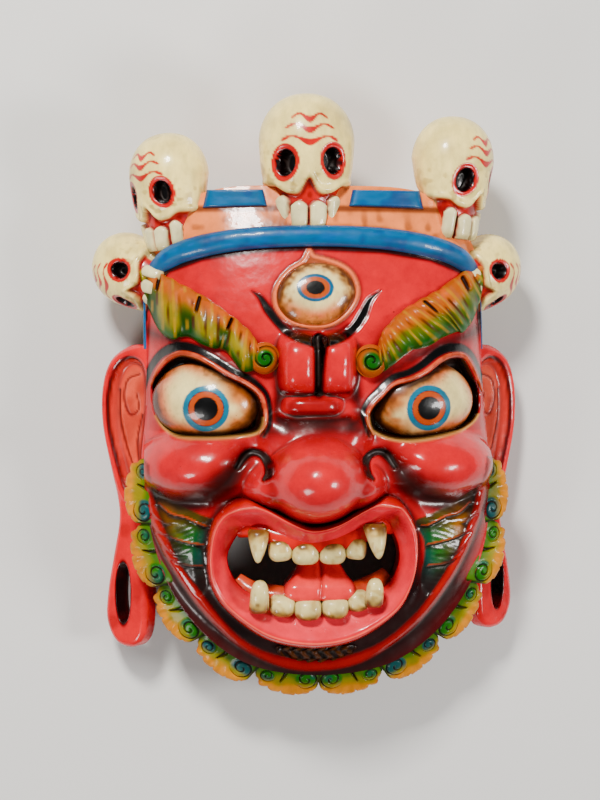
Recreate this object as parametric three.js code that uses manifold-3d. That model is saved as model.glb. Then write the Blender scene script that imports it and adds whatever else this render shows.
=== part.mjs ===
// A painted wooden dance mask of a wrathful three-eyed guardian, carved from one block of wood:
// a deep face with bulging eyes, a snarling mouth, flame eyebrows, a leafy beard, long-lobed ears
// and a crown band with five skulls. It is hollow behind, and it lies on its flat back rim.
//
// Millimetres. +X is to the viewer's right, +Y runs to the crown and +Z is the way the face looks.
// All the carving is set out from a datum between the eyes, on the plane of the back rim, and the
// finished mask is moved so that the middle of its outer box is over the origin.

import * as THREE from 'three';
import { mergeVertices } from 'three/addons/utils/BufferGeometryUtils.js';
import Module from 'manifold-3d';

const wasm = await Module();
wasm.setup();

// Driving dimensions

const WALL = 14; // wood left between the carved front and the hollow back
const RIM_WIDTH = 12; // flat back rim, measured in from the outer wall
const FRINGE_OVERHANG = 17; // how far the beard leaves stand out past the outer wall
const FRINGE_LIFT = 12.5; // how far the leaves' front stands over the wall's front edge
const LEAF_COUNT = 10; // beard leaves from one cheek round the chin to the other
const LEAF_THICKNESS = 13;
const LEAF_TILT = 24; // degrees that a beard leaf leans back at its outer edge
const EAR_THICKNESS = 13;
const EAR_FLARE = 52; // degrees between an ear and the side of the head
const EAR_ROOT = 97; // where the ears leave the side of the head, from its midline
const EAR_HOLLOW = 5; // depth of the hollow carved in each ear
const LOBE_SLOT = 12; // width of the slot through each ear lobe
const LOBE_LENGTH = { [-1]: 1, 1: 0.9 }; // the lobe on the right is the shorter one
const EYEBALL_RADIUS = 29;
const LID_THICKNESS = 5.2;
const LIP_THICKNESS = 5.5;
const ROLL_THICKNESS = 7; // half the height of the round moulding under the crown band
const SOCKET_DEPTH = 7; // eye sockets of the crown skulls
const CUT_MARGIN = 20; // how far a cutting block runs past what it cuts
const BLOCK = { centre: [4, -26], size: [260, 350] }; // round the head, before it is trimmed
const CLEAR = [500, 400, 100]; // the block that trims the back flat

// Small helpers for solids

function solid(geometry) {
  const bare = geometry.clone();
  for (const name of Object.keys(bare.attributes)) {
    if (name !== 'position') bare.deleteAttribute(name);
  }
  const merged = mergeVertices(bare, 1e-3);
  const index = merged.index.array;
  const kept = [];
  for (let i = 0; i < index.length; i += 3) {
    const [a, b, c] = [index[i], index[i + 1], index[i + 2]];
    if (a !== b && b !== c && c !== a) kept.push(a, b, c);
  }
  return new wasm.Manifold(new wasm.Mesh({
    numProp: 3,
    vertProperties: Float32Array.from(merged.attributes.position.array),
    triVerts: Uint32Array.from(kept),
  }));
}

function union(parts) {
  return parts.reduce((whole, part) => whole.add(part));
}

function degrees(angle) {
  return THREE.MathUtils.degToRad(angle);
}

function moved(geometry, at = [0, 0, 0], turn = [0, 0, 0], scale = [1, 1, 1]) {
  const matrix = new THREE.Matrix4().compose(
    new THREE.Vector3(...at),
    new THREE.Quaternion().setFromEuler(new THREE.Euler(...turn.map(degrees), 'YXZ')),
    new THREE.Vector3(...scale),
  );
  return geometry.clone().applyMatrix4(matrix);
}

function ellipsoid(at, radii, around = 12, down = 7, turn = [0, 0, 0]) {
  return solid(moved(new THREE.SphereGeometry(1, around, down), at, turn, radii));
}

function rod(points, radius, steps, sides, closed = false, flatten = 1) {
  const path = new THREE.CatmullRomCurve3(points.map((p) => new THREE.Vector3(...p)), closed);
  const section = new THREE.Shape();
  for (let i = 0; i < sides; i += 1) {
    const angle = (i / sides) * 2 * Math.PI;
    const corner = [radius * Math.cos(angle), radius * flatten * Math.sin(angle)];
    if (i === 0) section.moveTo(...corner);
    else section.lineTo(...corner);
  }
  return solid(new THREE.ExtrudeGeometry(section, { steps, extrudePath: path, bevelEnabled: false }));
}

function plate(outline, bottom, top) {
  const shape = new THREE.Shape(outline.map(([x, y]) => new THREE.Vector2(x, y)));
  const slab = new THREE.ExtrudeGeometry(shape, { depth: top - bottom, bevelEnabled: false });
  return solid(moved(slab, [0, 0, bottom]));
}

// A smooth value between the stations of a table of [position, value] rows
function along(table) {
  const slope = (i) => {
    const a = table[Math.max(i - 1, 0)];
    const b = table[Math.min(i + 1, table.length - 1)];
    return (b[1] - a[1]) / (b[0] - a[0]);
  };
  return (at) => {
    const t = THREE.MathUtils.clamp(at, table[0][0], table[table.length - 1][0]);
    let i = 0;
    while (i < table.length - 2 && t > table[i + 1][0]) i += 1;
    const [x0, y0] = table[i];
    const [x1, y1] = table[i + 1];
    const span = x1 - x0;
    const s = (t - x0) / span;
    const rise = slope(i) * span * (s * (1 - s) ** 2) - slope(i + 1) * span * (s * s * (1 - s));
    return y0 * (1 + 2 * s) * (1 - s) ** 2 + y1 * s * s * (3 - 2 * s) + rise;
  };
}

// The head: outline seen from the front and the heights of its front

const midline = along([[-90, 8], [-20, 5.5], [60, 4], [130, 3]]);
const OUTLINE_HALF = [
  [0, 134], [50, 133.5], [75, 127], [93, 112], [103, 90], [105, 60], [105, 30], [106, 0],
  [108, -30], [108, -60], [103, -92], [91, -121], [70, -147], [41, -165], [0, -171],
];
const halfWidth = along([
  [-172, 20], [-167, 38], [-160, 52], [-147, 71], [-121, 92], [-92, 104], [-60, 109], [-30, 109],
  [0, 107], [30, 106], [60, 105], [90, 103], [112, 96], [134, 88],
]);
const spineHeight = along([
  [-190, 44], [-165, 58], [-140, 74], [-100, 88], [-60, 97], [-20, 102], [20, 104], [60, 102],
  [100, 95], [134, 84],
]);
const edgeHeight = along([[-190, 40], [-120, 46], [-60, 53], [0, 50], [60, 45], [100, 44], [134, 58]]);

function dome(x, y) {
  const t = Math.min(Math.abs(x - midline(y)) / halfWidth(y), 1);
  return edgeHeight(y) + (spineHeight(y) - edgeHeight(y)) * Math.sqrt(1 - t ** 2.6);
}

function outline(inset, samples) {
  const right = OUTLINE_HALF.map(([x, y]) => [midline(y) + x, y]);
  const left = OUTLINE_HALF.slice(1, -1).reverse().map(([x, y]) => [midline(y) - x, y]);
  const ring = [...right, ...left].map((p) => new THREE.Vector3(p[0], p[1], 0));
  const curve = new THREE.CatmullRomCurve3(ring, true, 'centripetal');
  const points = [];
  for (let i = 0; i < samples; i += 1) {
    const t = i / samples;
    const at = curve.getPointAt(t);
    const tangent = curve.getTangentAt(t);
    points.push([at.x + tangent.y * inset, at.y - tangent.x * inset]);
  }
  return points.reverse();
}

// A block whose top follows a height function, trimmed to an outline
function reliefBlock(trim, bottom, height, spacing) {
  const { centre, size } = BLOCK;
  const [nx, ny] = size.map((length) => Math.round(length / spacing));
  const positions = [];
  const index = [];
  const put = (x, y, z) => positions.push(x, y, z) / 3 - 1;
  const grid = [];
  for (let j = 0; j <= ny; j += 1) {
    const y = centre[1] + (j / ny - 0.5) * size[1];
    grid.push([]);
    for (let i = 0; i <= nx; i += 1) {
      const x = centre[0] + (i / nx - 0.5) * size[0];
      grid[j].push(put(x, y, height(x, y)));
    }
  }
  for (let j = 0; j < ny; j += 1) {
    for (let i = 0; i < nx; i += 1) {
      const [a, b, c, d] = [grid[j][i], grid[j][i + 1], grid[j + 1][i + 1], grid[j + 1][i]];
      index.push(a, b, c, a, c, d);
    }
  }
  const edge = [
    ...grid[0].slice(0, -1), ...grid.slice(0, -1).map((row) => row[nx]),
    ...grid[ny].slice(1).reverse(), ...grid.slice(1).map((row) => row[0]).reverse(),
  ];
  const foot = edge.map((k) => put(positions[3 * k], positions[3 * k + 1], bottom));
  const hub = put(centre[0], centre[1], bottom);
  edge.forEach((k, i) => {
    const j = (i + 1) % edge.length;
    index.push(k, foot[i], foot[j], k, foot[j], edge[j], hub, foot[j], foot[i]);
  });
  const block = new THREE.BufferGeometry();
  block.setAttribute('position', new THREE.Float32BufferAttribute(positions, 3));
  block.setIndex(index);
  return solid(block).intersect(plate(trim, bottom, NOSE.top + CUT_MARGIN));
}

function hollow() {
  const roof = (x, y) => dome(x, y) - WALL;
  return reliefBlock(outline(RIM_WIDTH, 24), -CUT_MARGIN, roof, 32);
}

// Nose, cheeks and brow folds

const NOSE = { x: 1.5, y: -44, width: 32, height: 26, top: 149 };
const CHEEK = { mid: 5.5, half: 72, y: -37, radii: [40, 25, 44], z: 66, turn: 10 };
const FOLD_TOP = 118; // how high the bulges between the brows stand

function noseParts() {
  const { x, y, width, height, top } = NOSE;
  const bulb = ellipsoid([x, y, top - 46], [width, height, 46], 14, 8);
  const bridge = ellipsoid([x, y + 24, 92], [19, 30, 40], 8, 5);
  const wings = [-1, 1].map((side) => (
    ellipsoid([x + side * 34.5, y - 1, 98], [10.5, 16.5, 26], 7, 5)
  ));
  return [bulb, bridge, ...wings];
}

function cheekParts() {
  return [-1, 1].map((side) => ellipsoid(
    [CHEEK.mid + side * CHEEK.half, CHEEK.y, CHEEK.z], CHEEK.radii, 11, 6, [0, side * CHEEK.turn, 0],
  ));
}

function browFolds() {
  const bulges = [-1, 1].map((side) => ellipsoid([2.5 + side * 12.5, 25, FOLD_TOP - 22], [11, 19, 22], 8, 5));
  const fold = ellipsoid([-1, -1, FOLD_TOP - 22], [19, 7, 17], 10, 5);
  return [...bulges, fold];
}

// Eyes: a socket is cut, a ball sits in it and a lid runs round it

const EYE = { mid: 2.5, half: 67.5, y: 1.5, ballTop: 103, sideTurn: 14 };
// the lid's run round the left eye, seen from the front, from the centre of the eye
const LID_RUN = [
  [36, -17], [37, -4], [30, 9], [14, 19], [-4, 29], [-18, 31.5], [-27, 23], [-34, 8], [-30, -7],
  [-20, -18], [0, -21], [20, -21.5],
];

function eyeParts(side) {
  const x = EYE.mid + side * EYE.half;
  const lidHeight = (dx, dy) => dome(x + dx, EYE.y + dy) + (dx * side < 0 ? 5 : 4);
  const run = LID_RUN.map(([dx, dy]) => [x - side * dx, EYE.y + dy, lidHeight(-side * dx, dy)]);
  return {
    socket: ellipsoid([x, EYE.y + 2, 96], [33, 24, 20], 10, 5, [0, side * EYE.sideTurn, 0]),
    ball: ellipsoid(
      [x, EYE.y + 1, EYE.ballTop - 26], [EYEBALL_RADIUS, 24, 26], 12, 7, [0, side * EYE.sideTurn, 0],
    ),
    lid: rod([...run, run[0]], LID_THICKNESS / 2 + 0.8, 20, 4, false, 1.2),
  };
}

const THIRD_EYE = { x: 1.5, y: 69.5, width: 25.5, height: 22.5, peak: 94 };

function thirdEye() {
  const { x, y, width, height, peak } = THIRD_EYE;
  const ball = ellipsoid([x, y, 88], [width - 2, height - 2, 25], 12, 7);
  const run = [];
  for (let i = 0; i < 16; i += 1) {
    const angle = (i / 16) * 2 * Math.PI + Math.PI / 2;
    const reach = i === 0 ? peak - y : height;
    const at = [x + width * Math.cos(angle) - (i === 0 ? 4 : 0), y + reach * Math.sin(angle)];
    run.push([...at, dome(...at) + 2.5]);
  }
  return [ball, rod([...run, run[0]], 2.8, 15, 4)];
}

// Mouth: a funnel through the wall, with a raised lip, gums, teeth and a tongue

const LIP_RUN = [
  [0, -79, 113], [24, -73, 113], [44, -62, 108], [56, -68, 102], [65, -92, 97], [56, -117, 91],
  [34, -137, 90], [0, -145, 92],
];
const MOUTH_HOLE = [[0, -84], [24, -81], [38, -74], [48, -83], [50, -97], [42, -113], [24, -124], [0, -127]];
const MOUTH_MID = 1;

function mirroredRun(half) {
  const right = half.map(([x, ...rest]) => [MOUTH_MID + x, ...rest]);
  const left = half.slice(1, -1).reverse().map(([x, ...rest]) => [MOUTH_MID - x, ...rest]);
  return [...right, ...left];
}

function lipMass() {
  const band = mirroredRun(LIP_RUN);
  const rim = rod([...band, band[0]], LIP_THICKNESS / 2 + 1, 26, 4, false, 1.3);
  const outer = new THREE.SplineCurve([...band, band[0]].map(([x, y]) => new THREE.Vector2(x, y)));
  const filling = plate(outer.getPoints(20).slice(0, -1).map((p) => [p.x, p.y]).reverse(), 60, 96);
  return [filling, rim];
}

function mouthOpening() {
  const ring = mirroredRun(MOUTH_HOLE);
  const curve = new THREE.SplineCurve([...ring, ring[0]].map(([x, y]) => new THREE.Vector2(x, y)));
  const hole = curve.getPoints(22).slice(0, -1).map((p) => [p.x, p.y]).reverse();
  const funnel = moved(new THREE.CylinderGeometry(1, 0.86, 40, 15), [MOUTH_MID, -103, 116], [90, 0, 0], [60, 1, 37]);
  return { hole: plate(hole, 20, 160), funnel: solid(funnel) };
}

function tooth(x, y, z, width, height, depth) {
  return ellipsoid([x, y, z], [width / 2, height / 2, depth / 2], 6, 4);
}

function fang(x, y, z, length, radius, up) {
  const cone = new THREE.CylinderGeometry(radius * 0.15, radius, length, 6, 1);
  return solid(moved(cone, [x, y, z], [0, 0, up ? 0 : 180], [1, 1, 1.1]));
}

function teethParts() {
  const parts = [];
  for (const [dx, dy] of [[-18.5, 1.5], [-6, 0], [8.5, 0], [22, 2]]) {
    parts.push(tooth(2 + dx, -88 + dy, 98, 15, 15, 22));
    parts.push(tooth(4 + dx, -122 + dy * 2, 88, 16, 17, 24));
  }
  parts.push(fang(-34, -84, 99, 27, 8, false), fang(40, -82, 99, 29, 9, false));
  parts.push(fang(-31, -114, 90, 24, 9, true), fang(37, -114, 90, 24, 9, true));
  return parts;
}

function gums() {
  const upper = [[-44, -76, 86], [-30, -76, 92], [0, -82, 95], [32, -76, 92], [47, -76, 86]];
  const lower = [[-42, -116, 76], [-26, -124, 82], [2, -129, 83], [30, -124, 82], [46, -116, 76]];
  return [rod(upper, 7, 8, 5), rod(lower, 9, 8, 5)];
}

function tongue() {
  return ellipsoid([5, -112, 80], [21, 10, 26], 10, 6, [-22, 0, 0]);
}

// Flame eyebrows: a tapering ridge from a scroll at the nose to a tip at the temple, with flutes

const BROW = { mid: 2.5, length: 79, flutes: 7, steps: 21, across: 3 };
const browLine = along([[0, 27], [12, 35], [28, 48], [54, 62], [70, 75], [79, 87]]);
const browDepth = along([[0, 7], [6, 13], [12, 16], [28, 17], [54, 21.5], [70, 14], [79, 2]]);
const BROW_START = 31;

function eyebrow(side) {
  const { steps, across } = BROW;
  const positions = [];
  const index = [];
  const put = (x, y, z) => positions.push(x, y, z) / 3 - 1;
  const rows = [];
  for (let i = 0; i <= steps; i += 1) {
    const s = (i / steps) * BROW.length;
    const depth = browDepth(s);
    const flute = 1 - 0.28 * Math.abs(Math.sin((i / steps) * BROW.flutes * Math.PI));
    const row = [];
    for (let j = 0; j <= across; j += 1) {
      const t = (j / across) * 2 - 1;
      const x = BROW.mid + side * (BROW_START + s - t * 5);
      const y = browLine(s) + t * depth * (t < 0 ? 0.75 + 0.35 * flute : 0.8);
      const rise = 11 * Math.sqrt(1 - t * t) * flute * Math.min(1, depth / 10);
      row.push(put(x, y, dome(x, y) + (j === 0 || j === across ? -6 : rise)));
    }
    const low = put(BROW.mid + side * (BROW_START + s), browLine(s), dome(BROW.mid + side * (BROW_START + s), browLine(s)) - 8);
    rows.push([...row, low]);
  }
  const ring = across + 2;
  const face = (a, b, c) => index.push(...(side > 0 ? [a, b, c] : [a, c, b]));
  for (let i = 0; i < steps; i += 1) {
    for (let j = 0; j < ring; j += 1) {
      const k = (j + 1) % ring;
      face(rows[i][j], rows[i + 1][j], rows[i + 1][k]);
      face(rows[i][j], rows[i + 1][k], rows[i][k]);
    }
  }
  for (let j = 1; j < ring - 1; j += 1) {
    face(rows[0][0], rows[0][j], rows[0][j + 1]);
    face(rows[steps][0], rows[steps][j + 1], rows[steps][j]);
  }
  const geometry = new THREE.BufferGeometry();
  geometry.setAttribute('position', new THREE.Float32BufferAttribute(positions, 3));
  geometry.setIndex(index);
  const scrollX = BROW.mid + side * (BROW_START + 1);
  const scroll = new THREE.CylinderGeometry(8.5, 10, 22, 8);
  const knob = moved(scroll, [scrollX, browLine(0) + 1, dome(scrollX, browLine(0)) + 2], [90, 0, 0]);
  return [solid(geometry), solid(knob)];
}

// The forked groove between the brows, and the tuft under the lower lip

const GROOVE = { depth: 4, fork: [1, 41], arms: [[-20, 50], [-37, 69]], foot: [2, 9] };

function browGroove() {
  const mirrored = GROOVE.arms.map(([x, y]) => [2 * GROOVE.fork[0] + 2.5 - x, y]);
  const onto = (rise) => ([x, y]) => [x, y, dome(x, y) + rise];
  const arms = [GROOVE.arms, mirrored].map((arm) => (
    rod([GROOVE.fork, ...arm].map(onto(0)), GROOVE.depth / 2 + 0.6, 5, 4)
  ));
  const stem = rod([GROOVE.fork, [1.5, 25], GROOVE.foot].map(onto(0)), GROOVE.depth / 2 + 0.6, 3, 4);
  return union([...arms, stem]);
}

function chinTuft() {
  return ellipsoid([5, -154, dome(5, -154) - 1], [21, 6.5, 8], 9, 5);
}

// Jaw ridge and the leafy beard

const JAW_HALF = [[112, -28], [107, -60], [97, -97], [76, -131], [46, -156], [0, -163]];

function jawRun(lift) {
  const put = (side) => ([x, y]) => {
    const at = [midline(y) + side * x, y];
    return [...at, dome(...at) + lift];
  };
  const right = JAW_HALF.map(put(1));
  const left = JAW_HALF.slice(0, -1).map(put(-1)).reverse();
  return [...right, ...left];
}

function jawRidge() {
  return rod(jawRun(0), 4.2, 20, 4, false, 1.5);
}

// the wall's edge, which the leaves follow, and how far a leaf's shape runs out from it
const BEARD_HALF = [
  [106.5, -34], [108, -60], [103, -92], [91, -121], [70, -147], [41, -165], [0, -171],
];
const LEAF_REACH = 15.9;

function leafShape() {
  const shape = new THREE.Shape();
  const corners = [
    [-19, 4], [-19, -8], [-11, -13], [-3, -9], [8, -15], [18, -10], [20, 3],
    [16, 6.5], [11, 5.5], [9, 8.5], [-1, 9.5], [-3, 7.5], [-12, 9], [-14, 6],
  ];
  corners.forEach(([u, v], i) => (i === 0 ? shape.moveTo(u, v) : shape.lineTo(u, v)));
  return shape;
}

function beard() {
  const run = BEARD_HALF;
  const right = run.map(([x, y]) => new THREE.Vector3(midline(y) + x, y, 0));
  const left = run.slice(0, -1).reverse().map(([x, y]) => new THREE.Vector3(midline(y) - x, y, 0));
  const curve = new THREE.CatmullRomCurve3([...right, ...left], false, 'centripetal');
  const slab = new THREE.ExtrudeGeometry(leafShape(), { depth: LEAF_THICKNESS, bevelEnabled: false, curveSegments: 2 });
  const pitch = curve.getLength() / LEAF_COUNT;
  const leaves = [];
  for (let i = 0; i < LEAF_COUNT; i += 1) {
    const t = (i + 0.5) / LEAF_COUNT;
    const at = curve.getPointAt(t);
    const way = curve.getTangentAt(t);
    const mirror = i < LEAF_COUNT / 2 ? 1 : -1;
    const front = edgeHeight(at.y) + FRINGE_LIFT;
    const leaf = moved(slab, [0, 0, -LEAF_THICKNESS], [0, 0, 0], [pitch / 37, 1.06, 1]);
    if (mirror < 0) leaf.scale(-1, 1, 1);
    if (mirror < 0) flip(leaf);
    leaf.translate(0, LEAF_REACH - FRINGE_OVERHANG / Math.cos(degrees(LEAF_TILT)), 0);
    leaf.rotateX(degrees(LEAF_TILT));
    leaf.rotateZ(Math.atan2(way.y, way.x) + Math.PI);
    leaf.translate(at.x, at.y, front);
    leaves.push(solid(leaf));
  }
  return leaves;
}

// Turns a mirrored, unindexed geometry's faces outward again
function flip(geometry) {
  const position = geometry.attributes.position;
  for (let i = 0; i < position.count; i += 3) {
    const a = [position.getX(i), position.getY(i), position.getZ(i)];
    position.setXYZ(i, position.getX(i + 1), position.getY(i + 1), position.getZ(i + 1));
    position.setXYZ(i + 1, ...a);
  }
}

// Crown band: a round moulding below, a sloping fillet and a flat strip on top

const ROLL_HALF = [[0, 103], [40, 101.5], [70, 97], [90, 90], [101, 78], [104, 58], [105, 34]];

function crownBand() {
  const put = (side) => ([x, y]) => {
    const at = [midline(y) + side * x, y];
    return [...at, dome(...at) + 3];
  };
  const right = ROLL_HALF.map(put(1));
  const left = ROLL_HALF.slice(1).map(put(-1)).reverse();
  const roll = rod([...left, ...right], ROLL_THICKNESS, 20, 5, false, 0.8);
  const strip = [];
  for (let i = -6; i <= 6; i += 1) {
    const x = midline(127) + i * 11.5;
    strip.push([x, 127 - (i / 6) ** 4 * 5, dome(x, 127)]);
  }
  return [roll, rod(strip, 7, 12, 4, false, 0.7)];
}

// Crown skulls: one closed form with rings at [height, half width, front, back], cut and toothed

const SKULL_RINGS = [
  [30, 15, 15, -15], [21, 24, 22, -23], [4, 29.5, 27, -27], [-14, 28, 26, -21],
  [-23, 25, 22, -14], [-34, 20.5, 20, -10], [-47, 14.5, 19, -6],
];

function skull(at, turn, size, drop) {
  const sides = 8;
  const positions = [];
  const index = [];
  const put = (x, y, z) => positions.push(x, y * (y < -15 ? drop : 1) - (y < -15 ? 15 * (1 - drop) : 0), z) / 3 - 1;
  const rings = SKULL_RINGS.map(([y, half, front, back]) => {
    const ring = [];
    for (let i = 0; i < sides; i += 1) {
      const angle = ((i + 0.5) / sides) * 2 * Math.PI;
      const depth = Math.sin(angle) > 0 ? front : -back;
      ring.push(put(half * Math.cos(angle), y, depth * Math.sin(angle)));
    }
    return ring;
  });
  const crown = put(0, 34, 0);
  const chin = put(0, -50, 6);
  for (let i = 0; i < sides; i += 1) {
    const j = (i + 1) % sides;
    index.push(crown, rings[0][j], rings[0][i], chin, rings[rings.length - 1][i], rings[rings.length - 1][j]);
    for (let k = 0; k < rings.length - 1; k += 1) {
      index.push(rings[k][i], rings[k][j], rings[k + 1][j], rings[k][i], rings[k + 1][j], rings[k + 1][i]);
    }
  }
  const form = new THREE.BufferGeometry();
  form.setAttribute('position', new THREE.Float32BufferAttribute(positions, 3));
  form.setIndex(index);
  const sockets = [-1, 1].map((side) => {
    const pit = new THREE.CylinderGeometry(8.5, 6.5, 30, 6);
    return solid(moved(pit, [side * 15.5, -10, 25 - SOCKET_DEPTH + 15], [90, side * 22, 0], [1, 1, 1.15]));
  });
  const teeth = [-1.5, -0.5, 0.5, 1.5].map((place) => solid(moved(
    new THREE.BoxGeometry(10, 17, 9), [place * 11, -41 * drop - 15 * (1 - drop), 18 - place * place * 4],
    [0, place * 26, 0],
  )));
  const head = union([solid(form), ...teeth]).subtract(union(sockets));
  const place = new THREE.Matrix4().compose(
    new THREE.Vector3(...at),
    new THREE.Quaternion().setFromEuler(new THREE.Euler(...turn.map(degrees), 'ZYX')),
    new THREE.Vector3(size, size, size),
  );
  return head.transform(place.toArray());
}

function crownSkulls() {
  return [
    skull([-2, 157, 77], [0, 0, 0], 1, 1),
    skull([-86, 138, 60], [0, -48, 4], 0.88, 0.95),
    skull([91, 148, 60], [0, 48, -4], 0.93, 0.95),
    skull([-109.5, 84.5, 42], [-42, -19, 97], 0.78, 0.6),
    skull([114, 84, 42], [-42, 19, -57], 0.78, 0.6),
  ];
}

// Ears with long slotted lobes

const EAR_OUTLINE = [
  [-6, 30], [2, 36], [16, 36], [31, 27], [38, 10], [38, -14], [32, -40], [26, -62], [25, -76],
  [29, -96], [34, -120], [35, -140], [27, -154], [13, -156], [4, -146], [2, -120], [2, -92],
  [0, -70], [-6, -50],
];
const EAR_HOLLOW_OUTLINE = [
  [4, 22], [14, 28], [25, 22], [31, 6], [31, -14], [25, -36], [17, -56], [8, -58], [6, -30], [2, 0],
];

function ear(side) {
  const drop = (v) => (v > -60 ? v : -60 + (v + 60) * LOBE_LENGTH[side]);
  const shape = new THREE.Shape(new THREE.SplineCurve(
    [...EAR_OUTLINE, EAR_OUTLINE[0]].map(([u, v]) => new THREE.Vector2(u, drop(v))),
  ).getPoints(28).slice(0, -1).reverse());
  const slot = new THREE.Path();
  slot.absellipse(20, drop(-122), LOBE_SLOT / 2, 19, 0, 2 * Math.PI, true);
  shape.holes.push(slot);
  const options = { bevelEnabled: false, curveSegments: 5 };
  const slab = solid(new THREE.ExtrudeGeometry(shape, { ...options, depth: EAR_THICKNESS }));
  const pit = new THREE.Shape(new THREE.SplineCurve(
    [...EAR_HOLLOW_OUTLINE, EAR_HOLLOW_OUTLINE[0]].map(([u, v]) => new THREE.Vector2(u, v)),
  ).getPoints(18).slice(0, -1).reverse());
  const cut = moved(
    new THREE.ExtrudeGeometry(pit, { ...options, depth: CUT_MARGIN }),
    [0, 0, EAR_THICKNESS - EAR_HOLLOW],
  );
  const carved = slab.subtract(solid(cut));
  const turn = new THREE.Matrix4().makeRotationY(degrees(side * (90 - EAR_FLARE)));
  const flare = new THREE.Matrix4().makeTranslation(midline(0) + side * EAR_ROOT, 0, 33).multiply(turn);
  const mirror = new THREE.Matrix4().makeScale(side, 1, 1);
  return carved.transform(flare.multiply(mirror).toArray());
}

// The whole carving

function mask() {
  const block = reliefBlock(outline(0, 36), 0, dome, 20);
  const eyes = [-1, 1].map(eyeParts);
  const opening = mouthOpening();
  const front = union([
    block, ...cheekParts(), ...noseParts(), ...browFolds(), ...lipMass(), jawRidge(), ...crownBand(),
    ...thirdEye(), ...eyebrow(-1), ...eyebrow(1), ...beard(), ear(-1), ear(1), ...crownSkulls(),
    chinTuft(),
  ]);
  const carved = front
    .subtract(union(eyes.map((eye) => eye.socket)))
    .add(union(eyes.flatMap((eye) => [eye.ball, eye.lid])))
    .subtract(browGroove())
    .subtract(opening.funnel)
    .subtract(opening.hole)
    .add(union(gums()))
    .subtract(hollow())
    .add(union([...teethParts(), tongue()]));
  const below = solid(new THREE.BoxGeometry(...CLEAR).translate(0, 0, -CLEAR[2] / 2));
  return carved.subtract(below);
}

const { vertProperties, triVerts } = mask().getMesh();
const geometry = new THREE.BufferGeometry();
geometry.setAttribute('position', new THREE.Float32BufferAttribute(vertProperties, 3));
geometry.setIndex(new THREE.Uint32BufferAttribute(triVerts, 1));
geometry.computeBoundingBox();
const middle = geometry.boundingBox.getCenter(new THREE.Vector3());
geometry.translate(-middle.x, -middle.y, 0);
geometry.computeVertexNormals();

const painted = new THREE.MeshStandardMaterial({ color: 0xc8232c, roughness: 0.35, metalness: 0 });
const carving = new THREE.Mesh(geometry, painted);
carving.name = 'mask';

const assembly = new THREE.Group();
assembly.add(carving);

export default assembly;
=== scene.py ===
# %% [markdown]
# # A painted wooden dance mask, dressed in Blender
#
# The mask is one block of wood, carved into a wrathful three-eyed guardian, painted with
# bright colours, rubbed with dark varnish and lacquered. It lies on its back and we look down
# on it. The CAD frame has the main forms; here every surface gets its fine carving and paint.
# Everything is set out in millimetres from a datum between the eyes, as the carver's block is,
# and moved into the frame's own metres at the last moment.

# %% Load the frame
import math
from itertools import product

import bmesh
import bpy
import numpy as np
from mathutils import Matrix, Vector


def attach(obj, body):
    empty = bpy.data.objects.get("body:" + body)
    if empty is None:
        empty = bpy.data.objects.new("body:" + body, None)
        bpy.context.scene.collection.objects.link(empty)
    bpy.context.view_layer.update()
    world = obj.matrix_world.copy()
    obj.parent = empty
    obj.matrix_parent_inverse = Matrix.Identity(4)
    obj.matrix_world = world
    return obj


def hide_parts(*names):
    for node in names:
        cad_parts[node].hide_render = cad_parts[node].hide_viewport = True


for name in ("Cube", "Camera", "Light"):  # what a new Blender file starts with
    if name in bpy.data.objects:
        bpy.data.objects.remove(bpy.data.objects[name])
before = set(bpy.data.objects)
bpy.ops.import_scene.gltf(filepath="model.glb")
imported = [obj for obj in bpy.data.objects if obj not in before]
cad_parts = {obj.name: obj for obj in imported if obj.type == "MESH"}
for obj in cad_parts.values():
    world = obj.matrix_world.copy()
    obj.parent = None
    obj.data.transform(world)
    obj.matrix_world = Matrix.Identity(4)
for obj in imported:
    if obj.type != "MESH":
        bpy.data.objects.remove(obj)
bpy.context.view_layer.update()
DATUM = np.array([2.840, 2.379, 0.0])  # the frame's origin, seen from the carver's datum
MM = 0.001


def to_frame(points):
    """Carver's millimetres to the frame's metres."""
    return (np.asarray(points, float) - DATUM) * MM


# %% [markdown]
# ## Camera and light
#
# The photograph was taken from almost straight above, a little from the left and the crown
# side. A long lens keeps the depth of the carving from stretching. The camera is turned by
# writing its axes, because a tracking helper is ambiguous when it looks straight down.
# Lacquer shows its form through soft, broken highlights, so a large lamp over the crown does
# most of the work, a second fills the right side, and a pale floor and sky lift the shadows.

# %% Camera
CAMERA_AT = np.array([-101.9, 45.4, 1295.2])
CAMERA_LENS = 89.1


def place_camera():
    forward = -CAMERA_AT / np.linalg.norm(CAMERA_AT)
    right = np.cross(forward, (0, 1, 0))
    right /= np.linalg.norm(right)
    up = np.cross(right, forward)
    data = bpy.data.cameras.new("studio_camera")
    data.lens, data.sensor_width, data.clip_end = CAMERA_LENS, 36, 20
    camera = bpy.data.objects.new("studio_camera", data)
    bpy.context.collection.objects.link(camera)
    axes = np.eye(4)
    axes[:3, 0], axes[:3, 1], axes[:3, 2] = right, up, -forward
    axes[:3, 3] = to_frame(CAMERA_AT)
    camera.matrix_world = Matrix(axes.tolist())
    bpy.context.scene.camera = camera
    print("camera stands", round(float(np.linalg.norm(CAMERA_AT))), "mm from the datum")


place_camera()


# %% Lamps and sky
def soft_lamp(name, at, size, power, colour):
    """A square soft box that faces the mask; at is in metres."""
    data = bpy.data.lights.new(name, "AREA")
    data.shape, data.size, data.energy, data.color = "SQUARE", size, power, colour
    lamp = bpy.data.objects.new(name, data)
    bpy.context.collection.objects.link(lamp)
    lamp.location = at
    lamp.rotation_euler = (Vector((0, 0, 0.05)) - Vector(at)).to_track_quat("-Z", "Y").to_euler()


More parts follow.
